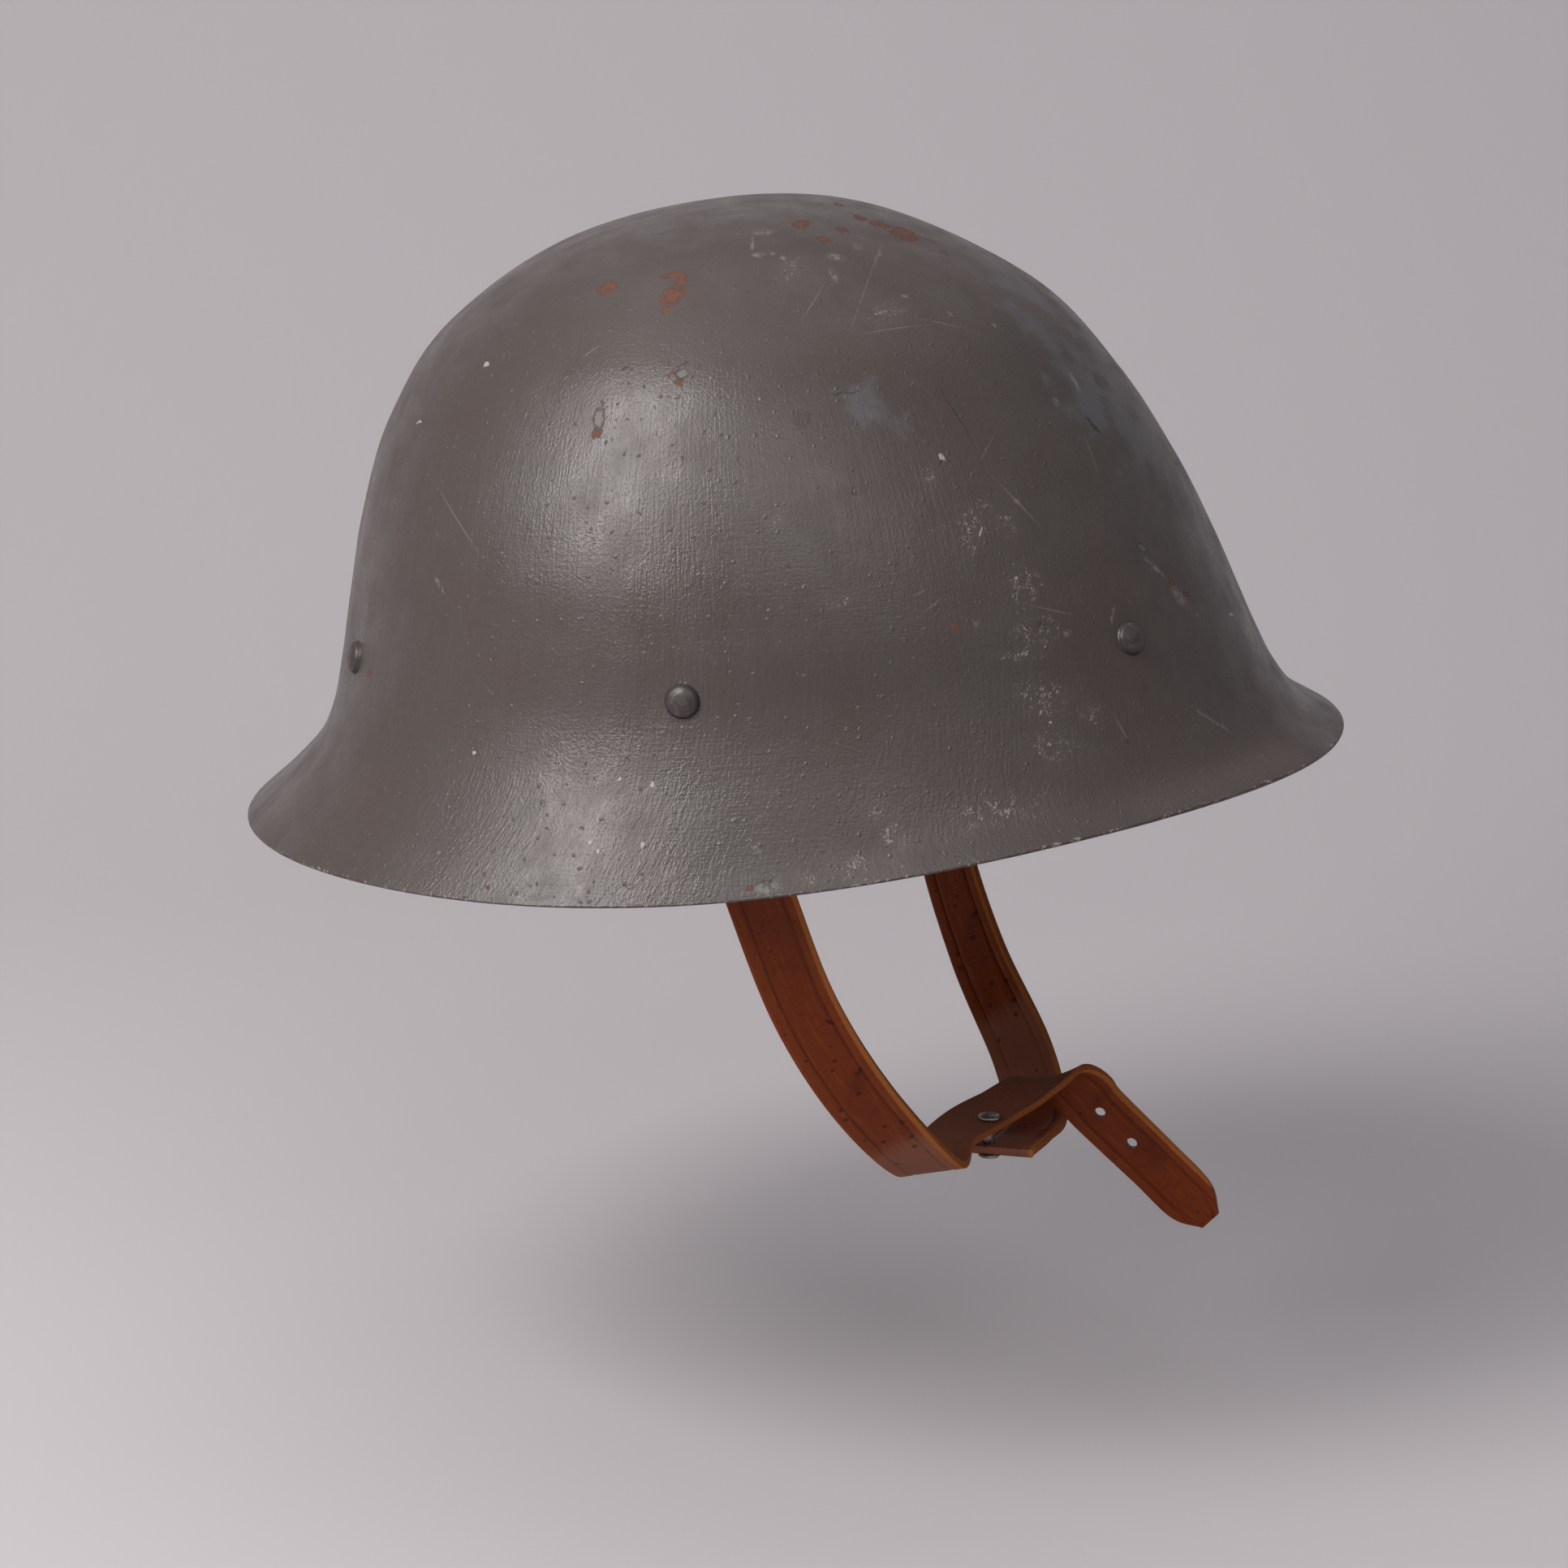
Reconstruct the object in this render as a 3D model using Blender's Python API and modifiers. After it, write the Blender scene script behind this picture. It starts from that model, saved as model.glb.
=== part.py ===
"""Steel combat helmet: a flared bell of pressed steel with six rivets and a leather chin strap.

Metres, +Z up. The helmet is as worn: its front is toward -Y, the wearer's right toward -X, and it leans
back by WEAR_TILT. The origin is the inside of the crown, where the helmet sits on a head.
"""
import math

import bmesh
import bpy
from mathutils import Matrix, Vector

MM = 0.001
GAP = 0.3 * MM              # between pieces that lie on or pass through each other

# Driving dimensions of the shell
SHELL_LENGTH = 312 * MM
SHELL_WIDTH = 268 * MM
SHELL_HEIGHT = 163 * MM
STEEL = 1.3 * MM
WEAR_TILT = math.radians(4.3)
POLE_BACK = 8 * MM          # the crown's top lies this far behind the middle of the rim
AROUND = 60                 # faces round the shell
ROW_STEP = 9.0 * MM         # aimed height of a row of faces

# Sections from the crown down to the rim. Reach is a share of half the length or width, drop a share
# of the height. Narrowing makes a section narrower in front, and corners lift it between front and side.
SECTION_COLUMNS = ("front", "rear", "side", "front_drop", "side_drop", "rear_drop", "narrowing", "corners")
SECTIONS = {
    "crown":      (0.228, 0.330, 0.379, 0.041, 0.041, 0.041, 0.000, 0.000),
    "upper":      (0.483, 0.568, 0.606, 0.172, 0.172, 0.172, 0.000, 0.000),
    "shoulder":   (0.623, 0.689, 0.735, 0.328, 0.328, 0.328, 0.000, 0.000),
    "wall":       (0.715, 0.750, 0.811, 0.483, 0.483, 0.483, 0.000, 0.000),
    "lower_wall": (0.772, 0.783, 0.845, 0.608, 0.608, 0.608, 0.000, 0.000),
    "brim_start": (0.812, 0.809, 0.864, 0.707, 0.720, 0.720, 0.020, 0.001),
    "brim_root":  (0.842, 0.832, 0.894, 0.782, 0.807, 0.807, 0.040, 0.002),
    "brim":       (0.871, 0.869, 0.932, 0.844, 0.882, 0.875, 0.060, 0.003),
    "brim_outer": (0.914, 0.940, 0.970, 0.900, 0.950, 0.941, 0.075, 0.005),
    "rim":        (0.990, 1.010, 1.000, 0.944, 1.000, 0.994, 0.088, 0.006),
}

# Rivets: angles from the front, and how far down the shell they sit
RIVET_ANGLES = {"front": 30.0, "side": 90.0, "rear": 150.0}
RIVET_DROP = 0.695
RIVET_HEAD = 9.4 * MM
RIVET_DOME = 2.1 * MM
DOME_ANGLES = (25, 50, 72)  # degrees from the dome's top to the points of its profile
RIVET_SHANK = 4.0 * MM
RIVET_INNER_HEAD = 8.0 * MM
RIVET_INNER_THICK = 1.0 * MM
ROUND_FACES = 16            # faces round a rivet, a stud or a hole

# Chin strap: two leather straps, held by the side rivets inside the shell
STRAP_WIDTH = 18.4 * MM
STRAP_THICK = 2.2 * MM
STRAP_STEP = 4.5 * MM       # length of one row of faces along a strap
STRAP_ACROSS = 4            # faces across a strap
STRAP_ABOVE_RIVET = 9 * MM
STRAP_BELOW_RIVET = 5.4 * MM  # straight run that lies on the shell's inside
STRAP_DROP = 146 * MM       # from the side rivets down to the underside of the chin
WALL_GAP = 0.8 * MM         # between the shell's inside and a strap's upper end
HOLE = 3.3 * MM
CUT_LENGTH = 3 * (STEEL + WALL_GAP + STRAP_THICK)

# Routes from the side rivet down. Out is a share of the rivet's distance from the middle, negative past
# the middle. Forward and down are shares of STRAP_DROP, measured from the rivet. Then come the direction
# of the strap's front edge and its width as a share of STRAP_WIDTH.
ROUTE_COLUMNS = ("out", "forward", "down", "edge_out", "edge_forward", "edge_up", "width")
ROUTE_RIGHT = {
    "inside":     (0.978, 0.055, 0.134, -0.10, 0.95, 0.25, 1.00),
    "at_rim":     (0.907, 0.123, 0.387, -0.31, 0.85, 0.41, 1.00),
    "cheek":      (0.777, 0.182, 0.627, -0.30, 0.87, 0.38, 1.00),
    "jaw":        (0.634, 0.267, 0.832, -0.25, 0.90, 0.33, 1.00),
    "turn":       (0.420, 0.356, 1.007, -0.10, 0.97, 0.20, 1.00),
    "under_jaw":  (0.223, 0.353, 1.010, 0.00, 0.98, 0.15, 1.00),
    "at_stud":    (0.036, 0.380, 1.010, 0.20, 0.98, 0.00, 1.00),
    "past_stud":  (-0.071, 0.425, 0.997, 0.35, 0.93, 0.05, 1.00),
    "far_side":   (-0.152, 0.480, 0.973, 0.40, 0.90, 0.15, 1.00),
    "droop":      (-0.219, 0.521, 0.976, 0.25, 0.80, 0.50, 1.00),
    "hangs":      (-0.259, 0.555, 1.010, 0.05, 0.70, 0.70, 1.00),
    "end_root":   (-0.272, 0.589, 1.051, 0.05, 0.68, 0.73, 0.97),
    "end_middle": (-0.272, 0.695, 1.147, 0.05, 0.68, 0.73, 0.93),
    "point_root": (-0.272, 0.774, 1.221, 0.05, 0.68, 0.73, 0.88),
    "point":      (-0.272, 0.815, 1.260, 0.05, 0.68, 0.73, 0.36),
}
ROUTE_LEFT = {
    "inside":     (0.978, 0.048, 0.134, -0.10, 0.95, 0.25, 1.00),
    "at_rim":     (0.907, 0.117, 0.387, -0.31, 0.85, 0.41, 1.00),
    "cheek":      (0.777, 0.182, 0.627, -0.30, 0.87, 0.38, 1.00),
    "jaw":        (0.652, 0.277, 0.832, -0.25, 0.90, 0.30, 1.00),
    "turn":       (0.500, 0.394, 0.997, -0.10, 0.98, 0.10, 1.00),
    "under_jaw":  (0.339, 0.449, 1.082, 0.00, 1.00, 0.00, 1.00),
    "below":      (0.134, 0.449, 1.075, 0.00, 1.00, 0.00, 1.00),
    "at_stud":    (-0.036, 0.445, 1.058, 0.00, 1.00, 0.00, 1.00),
    "end":        (-0.076, 0.445, 1.057, 0.00, 1.00, 0.00, 0.96),
}

# Punched holes: how far from the strap's end, and how far toward its front edge
HOLES_RIGHT = {"upper": (45 * MM, 0.0), "lower": (32 * MM, 0.0)}
HOLES_LEFT = {"middle": (28 * MM, -0.5 * MM), "front": (26 * MM, 6.0 * MM)}

STRAPS = {"right": (ROUTE_RIGHT, HOLES_RIGHT), "left": (ROUTE_LEFT, HOLES_LEFT)}

# Stud that joins the straps where they cross
STUD_POST = 3.0 * MM
STUD_HEAD = 6.4 * MM
STUD_HEAD_THICK = 1.2 * MM
STUD_SLACK = 0.45 * MM      # between a head and the strap, which slopes a little there
HEAD_TAPER = 0.85           # flat top of a flat head, as a share of its radius

COLOURS = {
    "steel": ((0.100, 0.092, 0.082, 1.0), 0.45, 0.6),
    "rivet": ((0.070, 0.064, 0.058, 1.0), 0.40, 0.7),
    "leather": ((0.210, 0.075, 0.025, 1.0), 0.55, 0.0),
    "stud": ((0.300, 0.290, 0.270, 1.0), 0.35, 1.0),
}


def clear_scene():
    for old in list(bpy.data.objects):
        bpy.data.objects.remove(old, do_unlink=True)


def new_collection(name):
    collection = bpy.data.collections.new(name)
    bpy.context.scene.collection.children.link(collection)
    return collection


def material_for(name, kind):
    colour, roughness, metallic = COLOURS[kind]
    made = bpy.data.materials.new(name)
    made.use_nodes = True
    shader = made.node_tree.nodes["Principled BSDF"]
    shader.inputs["Base Color"].default_value = colour
    shader.inputs["Roughness"].default_value = roughness
    shader.inputs["Metallic"].default_value = metallic
    return made


def add_object(name, mesh, collection, kind=None):
    made = bpy.data.objects.new(name, mesh)
    collection.objects.link(made)
    if kind:
        mesh.materials.append(material_for(name, kind))
        mesh.shade_smooth()
    else:
        made.hide_render = True
        made.display_type = "WIRE"
    return made


def blend_rows(before, start, end, after, share):
    """Smooth value between two rows, from the rows on either side (Catmull-Rom)."""
    mixed = []
    for a, b, c, d in zip(before, start, end, after):
        bend = 2 * a - 5 * b + 4 * c - d
        twist = 3 * (b - c) + d - a
        mixed.append(b + 0.5 * share * ((c - a) + share * (bend + share * twist)))
    return mixed


def smooth_row(rows, position):
    """Row at a fractional position in rows, which has one extra row before and after."""
    index = min(int(position), len(rows) - 4)
    return blend_rows(*rows[index:index + 4], position - index)


def extended(previous, last):
    """Row that follows on straight from two rows."""
    return [2 * value - earlier for earlier, value in zip(previous, last)]


def shell_rows():
    """Section rows in metres from the pole down, with one more beyond the pole and one past the rim."""
    half_length, half_width = SHELL_LENGTH / 2, SHELL_WIDTH / 2
    rows = [[-POLE_BACK, POLE_BACK, 0, 0, 0, 0, 0, 0]]
    for row in SECTIONS.values():
        value = dict(zip(SECTION_COLUMNS, row))
        rows.append([
            value["front"] * half_length, value["rear"] * half_length, value["side"] * half_width,
            value["front_drop"] * SHELL_HEIGHT, value["side_drop"] * SHELL_HEIGHT,
            value["rear_drop"] * SHELL_HEIGHT, value["narrowing"], value["corners"] * SHELL_HEIGHT])
    front, rear, side, front_drop, side_drop, rear_drop, narrowing, corners = rows[1]
    beyond = [-rear, -front, -side, rear_drop, side_drop, front_drop, narrowing, corners]
    return [beyond] + rows + [extended(rows[-2], rows[-1])]


ROWS = shell_rows()


def shell_point(position, angle):
    """Point on the shell's outside: position counts sections from the pole, angle goes round from the front."""
    front, rear, side, front_drop, side_drop, rear_drop, narrowing, corners = smooth_row(ROWS, position)
    x = -side * math.sin(angle) * (1 - narrowing * math.cos(angle))
    y = (rear - front) / 2 - (front + rear) / 2 * math.cos(angle)
    mean = (front_drop + rear_drop + 2 * side_drop) / 4
    lean = (front_drop - rear_drop) / 2
    dip = (front_drop + rear_drop - 2 * side_drop) / 4
    drop = mean + lean * math.cos(angle) + dip * math.cos(2 * angle) - corners * (1 - math.cos(4 * angle))
    worn = Matrix.Rotation(-WEAR_TILT, 3, "X") @ Vector((x, y - POLE_BACK, -drop))
    return worn + Vector((0, 0, STEEL))


def shell_normal(position, angle):
    step = 0.01
    down = shell_point(position + step, angle) - shell_point(position - step, angle)
    round_it = shell_point(position, angle + step) - shell_point(position, angle - step)
    return round_it.cross(down).normalized()


def position_at_drop(share):
    """Position whose side drop is this share of the height."""
    low, high = 0.0, float(len(SECTIONS))
    for _ in range(40):
        middle = (low + high) / 2
        if smooth_row(ROWS, middle)[4] < share * SHELL_HEIGHT:
            low = middle
        else:
            high = middle
    return low


def row_positions():
    """Positions of the rows of faces, evenly spaced down the side of the shell."""
    positions = []
    for section in range(len(SECTIONS)):
        start, end = shell_point(section, math.pi / 2), shell_point(section + 1, math.pi / 2)
        count = max(1, round((end - start).length / ROW_STEP))
        positions += [section + (step + 1) / count for step in range(count)]
    return positions


def add_wall(piece, thickness, offset):
    wall = piece.modifiers.new("wall", "SOLIDIFY")
    wall.thickness = thickness
    wall.offset = offset
    wall.use_even_offset = True


def add_holes(piece, name, cutter):
    holes = piece.modifiers.new(name, "BOOLEAN")
    holes.operation = "DIFFERENCE"
    holes.object = cutter


def build_shell(collection, cutter):
    """Open bell of faces round the crown, given its wall inward, with holes for the rivets."""
    bm = bmesh.new()
    pole = bm.verts.new(shell_point(0, 0))
    angles = [2 * math.pi * step / AROUND for step in range(AROUND)]
    rings = [[bm.verts.new(shell_point(position, angle)) for angle in angles] for position in row_positions()]
    for here in range(AROUND):
        following = (here + 1) % AROUND
        bm.faces.new((pole, rings[0][following], rings[0][here]))
        for upper, lower in zip(rings, rings[1:]):
            bm.faces.new((upper[here], upper[following], lower[following], lower[here]))
    mesh = bpy.data.meshes.new("shell")
    bm.to_mesh(mesh)
    bm.free()
    shell = add_object("shell", mesh, collection, "steel")
    add_wall(shell, STEEL, -1)
    add_holes(shell, "rivet holes", cutter)


def frame_on(point, normal):
    """Placement at a point, with its Z along the normal."""
    side = Vector((0, 0, 1)).cross(normal).normalized()
    turn = Matrix((side, normal.cross(side), normal)).transposed().to_4x4()
    return Matrix.Translation(point) @ turn


def cylinders(name, placements, diameter, collection):
    """One cutter of round bars, centred on the placements."""
    bm = bmesh.new()
    for placement in placements:
        bmesh.ops.create_cone(
            bm, cap_ends=True, segments=ROUND_FACES, radius1=diameter / 2, radius2=diameter / 2,
            depth=CUT_LENGTH, matrix=placement)
    mesh = bpy.data.meshes.new(name)
    bm.to_mesh(mesh)
    bm.free()
    return add_object(name, mesh, collection)


def turned(name, profile, placement, collection, kind):
    """Solid of revolution from a profile of radius and height, listed from top to bottom."""
    mesh = bpy.data.meshes.new(name)
    edges = [(point, point + 1) for point in range(len(profile) - 1)]
    mesh.from_pydata([(radius, 0, height) for radius, height in profile], edges, [])
    made = add_object(name, mesh, collection, kind)
    screw = made.modifiers.new("turned", "SCREW")
    screw.axis = "Z"
    screw.steps = ROUND_FACES
    screw.render_steps = ROUND_FACES
    screw.use_merge_vertices = True
    screw.merge_threshold = 0.00001
    screw.use_smooth_shade = True
    made.matrix_world = placement


def rivet_placements():
    position = position_at_drop(RIVET_DROP)
    placed = {}
    for where, degrees in RIVET_ANGLES.items():
        for hand, turn in (("right", 1), ("left", -1)):
            angle = turn * math.radians(degrees)
            placed[where + "_" + hand] = frame_on(shell_point(position, angle), shell_normal(position, angle))
    return placed


def build_rivet(where, placement, collection):
    """Domed head outside, shank through the wall, and flat head inside. A side rivet holds a strap too."""
    head, shank, inner = RIVET_HEAD / 2, RIVET_SHANK / 2, RIVET_INNER_HEAD / 2
    held = STEEL + GAP
    if where.startswith("side"):
        held = STEEL + WALL_GAP + STRAP_THICK + GAP
    profile = [(0, GAP + RIVET_DOME)]
    for degrees in DOME_ANGLES:
        angle = math.radians(degrees)
        profile.append((head * math.sin(angle), GAP + RIVET_DOME * math.cos(angle)))
    profile += [
        (head, GAP), (shank, GAP), (shank, -held), (inner, -held),
        (inner * HEAD_TAPER, -held - RIVET_INNER_THICK), (0, -held - RIVET_INNER_THICK)]
    turned("rivet_" + where, profile, placement, collection, "rivet")


def held_place(rivet):
    """Middle of the strap's leather under a side rivet, and the wall's normal there."""
    normal = rivet.to_3x3() @ Vector((0, 0, 1))
    return rivet.translation - normal * (STEEL + WALL_GAP + STRAP_THICK / 2), normal


def route_row(row, held):
    """Route row in metres: the strap's middle, its front edge's direction and its width share."""
    value = dict(zip(ROUTE_COLUMNS, row))
    outward = math.copysign(1, held.x)
    return [
        value["out"] * held.x, held.y - value["forward"] * STRAP_DROP, held.z - value["down"] * STRAP_DROP,
        outward * value["edge_out"], -value["edge_forward"], value["edge_up"], value["width"]]


def strap_rows(route, rivet):
    """Rows of a strap: its held upper end, flat on the wall round the rivet, then its route."""
    held, normal = held_place(rivet)
    below = [route_row(row, held) for row in route.values()]
    down = Vector(below[0][:3]) - held
    down = (down - normal * down.dot(normal)).normalized()
    edge = down.cross(normal).normalized()
    if edge.y > 0:
        edge = -edge
    upper = [[*(held + down * along), *edge, 1.0] for along in (-STRAP_ABOVE_RIVET, 0.0, STRAP_BELOW_RIVET)]
    rows = upper + below
    return [extended(rows[1], rows[0])] + rows + [extended(rows[-2], rows[-1])]


def strap_stations(route, rivet):
    """Stations along a strap: its middle, the direction of its front edge, its face and its half width."""
    rows = strap_rows(route, rivet)
    stations = []
    for section in range(len(rows) - 3):
        start, end = Vector(rows[section + 1][:3]), Vector(rows[section + 2][:3])
        count = max(1, round((end - start).length / STRAP_STEP))
        for step in range(count + (section == len(rows) - 4)):
            position = section + step / count
            row = smooth_row(rows, position)
            ahead = Vector(smooth_row(rows, position + 0.01)[:3])
            behind = Vector(smooth_row(rows, max(position - 0.01, 0))[:3])
            along = (ahead - behind).normalized()
            edge = Vector(row[3:6])
            edge = (edge - along * edge.dot(along)).normalized()
            stations.append((Vector(row[:3]), edge, along.cross(edge), row[6] * STRAP_WIDTH / 2))
    return stations


def build_strap(name, stations, cutters, collection):
    """Open strip along the stations, given its thickness to both sides, then punched."""
    bm = bmesh.new()
    shares = [2 * step / STRAP_ACROSS - 1 for step in range(STRAP_ACROSS + 1)]
    strips = [[bm.verts.new(middle + edge * half * share) for share in shares]
              for middle, edge, _, half in stations]
    for here, following in zip(strips, strips[1:]):
        for step in range(STRAP_ACROSS):
            bm.faces.new((here[step], following[step], following[step + 1], here[step + 1]))
    mesh = bpy.data.meshes.new(name)
    bm.to_mesh(mesh)
    bm.free()
    strap = add_object(name, mesh, collection, "leather")
    add_wall(strap, STRAP_THICK, 0)
    for cutter in cutters:
        add_holes(strap, cutter.name, cutter)


def hole_placements(stations, holes):
    """Placements across the strap, measured back from its end."""
    placed = []
    for back, toward_edge in holes.values():
        left = back
        for nearer, farther in zip(reversed(stations), reversed(stations[:-1])):
            length = (nearer[0] - farther[0]).length
            if left <= length:
                middle = nearer[0].lerp(farther[0], left / length)
                placed.append(frame_on(middle + nearer[1] * toward_edge, nearer[2]))
                break
            left -= length
    return placed


def stud_places(rivets, stations):
    """Where the stud passes each strap: midway between their rows at the stud, at each strap's height."""
    rows = [route_row(route["at_stud"], held_place(rivets["side_" + hand])[0])
            for hand, (route, _) in STRAPS.items()]
    x, y = [(first + second) / 2 for first, second in zip(rows[0][:2], rows[1][:2])]
    places = {}
    for hand, along in stations.items():
        nearest = min(along, key=lambda station: (station[0].xy - Vector((x, y))).length)
        places[hand] = Vector((x, y, nearest[0].z))
    return places


def build_stud(upper, lower, collection):
    """Plain post through both straps, with a flat head above and below."""
    post, head = STUD_POST / 2, STUD_HEAD / 2
    reach = (upper - lower).length / 2 + STRAP_THICK / 2 + STUD_SLACK
    outer = reach + STUD_HEAD_THICK
    shoulder = (reach + outer) / 2
    top = [(0, outer), (head * HEAD_TAPER, outer), (head, shoulder), (head, reach), (post, reach)]
    profile = top + [(radius, -height) for radius, height in reversed(top)]
    turned("strap_stud", profile, Matrix.Translation((upper + lower) / 2), collection, "stud")


def build_helmet():
    clear_scene()
    parts = new_collection("steel combat helmet")
    cutters = new_collection("cutters")
    rivets = rivet_placements()
    shank_hole, post_hole = RIVET_SHANK + 2 * GAP, STUD_POST + 2 * GAP

    build_shell(parts, cylinders("shell cutter", rivets.values(), shank_hole, cutters))
    for where, placement in rivets.items():
        build_rivet(where, placement, parts)

    stations = {hand: strap_stations(route, rivets["side_" + hand]) for hand, (route, _) in STRAPS.items()}
    stud = stud_places(rivets, stations)
    for hand, (_, holes) in STRAPS.items():
        name = "strap_" + hand
        punched = hole_placements(stations[hand], holes)
        build_strap(name, stations[hand], [
            cylinders(name + " rivet hole", [rivets["side_" + hand]], shank_hole, cutters),
            cylinders(name + " stud hole", [Matrix.Translation(stud[hand])], post_hole, cutters),
            cylinders(name + " punched holes", punched, HOLE, cutters)], parts)
    build_stud(stud["right"], stud["left"], parts)


build_helmet()
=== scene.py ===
"""Looks of the steel combat helmet: worn grey-brown paint, domed rivets and an aged leather chin strap."""
import math

import bmesh
import bpy
import numpy as np
from mathutils import Matrix, Vector
from mathutils.bvhtree import BVHTree


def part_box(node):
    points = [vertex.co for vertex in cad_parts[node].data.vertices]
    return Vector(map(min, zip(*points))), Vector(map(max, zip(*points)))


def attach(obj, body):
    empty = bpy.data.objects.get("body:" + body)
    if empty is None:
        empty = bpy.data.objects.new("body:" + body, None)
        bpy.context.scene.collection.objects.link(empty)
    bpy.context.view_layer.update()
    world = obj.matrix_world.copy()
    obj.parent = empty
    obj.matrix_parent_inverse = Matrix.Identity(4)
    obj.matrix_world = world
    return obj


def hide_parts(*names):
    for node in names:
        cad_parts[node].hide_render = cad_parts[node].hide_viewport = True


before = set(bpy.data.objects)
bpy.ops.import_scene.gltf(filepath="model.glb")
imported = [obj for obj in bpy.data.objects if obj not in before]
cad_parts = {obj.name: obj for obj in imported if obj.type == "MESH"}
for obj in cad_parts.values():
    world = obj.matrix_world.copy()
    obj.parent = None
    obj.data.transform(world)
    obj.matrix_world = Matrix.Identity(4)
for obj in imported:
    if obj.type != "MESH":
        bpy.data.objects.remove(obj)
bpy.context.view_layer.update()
scene = bpy.context.scene

# The view
# The helmet is seen from the wearer's right and a little from the front, from 1.5 m away with a long lens.
# Marks on the paint are placed by where they lie in this view, in pixels of its square frame.
FRAME_PIXELS = 1932
CAMERA_AT = Vector((-1.438, -0.370, 0.2425))
LOOKS_AT = Vector((0.0, -0.0155, -0.1638))
SENSOR = 36.0
LENS = 124.4

camera = bpy.data.objects.new("camera", bpy.data.cameras.new("camera"))
scene.collection.objects.link(camera)
camera.data.sensor_width = SENSOR
camera.data.lens = LENS
camera.location = CAMERA_AT
camera.rotation_euler = (LOOKS_AT - CAMERA_AT).to_track_quat("-Z", "Y").to_euler()
scene.camera = camera

# Shell
# One sheet of steel, pressed into a flared bell and cut along its rim. It is brush-painted in a semi-matt
# grey-brown enamel, which has aged: chips down to rust, pale scuffs, fine scratches and a worn rim.
MM = 0.001
STEEL = 1.3 * MM
HALF_LENGTH = 156 * MM
HALF_WIDTH = 134 * MM
HEIGHT = 163 * MM
WEAR_TILT = math.radians(4.3)
POLE_BACK = 8 * MM
FACES_AROUND = 288
FACES_PER_SECTION = 12
UNEVEN = 0.12 * MM
UNEVEN_SIZE = 45 * MM
RIM_ROUNDING = 0.3 * MM
SHARP_STEEL = math.radians(50)
SEED = 3.0
# Shares of the half length, half width and height, each for one cut round the bell: its reach to the front,
# rear and side, its drop there, how much its front narrows, and how much its corners rise
SECTIONS = {
    "crown":      (0.228, 0.330, 0.379, 0.041, 0.041, 0.041, 0.000, 0.000),
    "upper":      (0.483, 0.568, 0.606, 0.172, 0.172, 0.172, 0.000, 0.000),
    "shoulder":   (0.623, 0.689, 0.735, 0.328, 0.328, 0.328, 0.000, 0.000),
    "wall":       (0.715, 0.750, 0.811, 0.483, 0.483, 0.483, 0.000, 0.000),
    "lower_wall": (0.772, 0.783, 0.845, 0.608, 0.608, 0.608, 0.000, 0.000),
    "brim_start": (0.812, 0.809, 0.864, 0.707, 0.720, 0.720, 0.020, 0.001),
    "brim_root":  (0.842, 0.832, 0.894, 0.782, 0.807, 0.807, 0.040, 0.002),
    "brim":       (0.871, 0.869, 0.932, 0.844, 0.882, 0.875, 0.060, 0.003),
    "brim_outer": (0.914, 0.940, 0.970, 0.900, 0.950, 0.941, 0.075, 0.005),
    "rim":        (0.990, 1.010, 1.000, 0.944, 1.000, 0.994, 0.088, 0.006),
}
ROW_VALUES = ("middle", "reach", "side", "drop", "slope", "dip", "narrowing", "corners")

# How a point of the shell follows from its row's values and its turn round the crown. Here, as in the other
# tables of steps, a row is the name of a result, an operation, and the names or values that it works on.
SHELL_FORMULA = (
    ("cosine", "COSINE", "turn"),
    ("sine", "SINE", "turn"),
    ("twice", "MULTIPLY", "turn", 2.0),
    ("cosine_twice", "COSINE", "twice"),
    ("four_times", "MULTIPLY", "turn", 4.0),
    ("cosine_four", "COSINE", "four_times"),
    ("narrower", "MULTIPLY", "narrowing", "cosine"),
    ("width_share", "SUBTRACT", 1.0, "narrower"),
    ("right", "MULTIPLY", "side", "sine"),
    ("right_narrowed", "MULTIPLY", "right", "width_share"),
    ("x", "MULTIPLY", "right_narrowed", -1.0),
    ("forward", "MULTIPLY", "reach", "cosine"),
    ("behind_pole", "SUBTRACT", "middle", "forward"),
    ("y", "SUBTRACT", "behind_pole", "Pole Back"),
    ("sloped", "MULTIPLY_ADD", "slope", "cosine", "drop"),
    ("dipped", "MULTIPLY_ADD", "dip", "cosine_twice", "sloped"),
    ("corner_share", "SUBTRACT", 1.0, "cosine_four"),
    ("corner_lift", "MULTIPLY", "corners", "corner_share"),
    ("z", "SUBTRACT", "corner_lift", "dipped"),
    ("upright", "JOIN", "x", "y", "z"),
    ("leaning", "TURN_X", "upright", "Lean"),
    ("raised", "JOIN", 0.0, 0.0, "Lift"),
    ("seat", "VECTOR_ADD", "leaning", "raised"),
    ("past_rim", "GREATER_THAN", "section", "Sections"),
    ("past_pole", "LESS_THAN", "section", 0.0),
    ("outside", "MAXIMUM", "past_rim", "past_pole"),
    # The press and a long life leave the sheet a little uneven, which breaks up its highlights.
    ("grain", "DIVIDE", 1.0, "Uneven Size"),
    ("waves", "NOISE_4D", "Seed", "grain", 2.0, 0.4),
    ("height", "RAMP", "waves", 0.25, 0.75, -1.0, 1.0),
    ("unevenness", "MULTIPLY", "height", "Uneven"),
    ("offset", "SCALE", "normal", "unevenness"),
    ("round_crown", "JOIN", "sine", "cosine", "section"),
)

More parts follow.
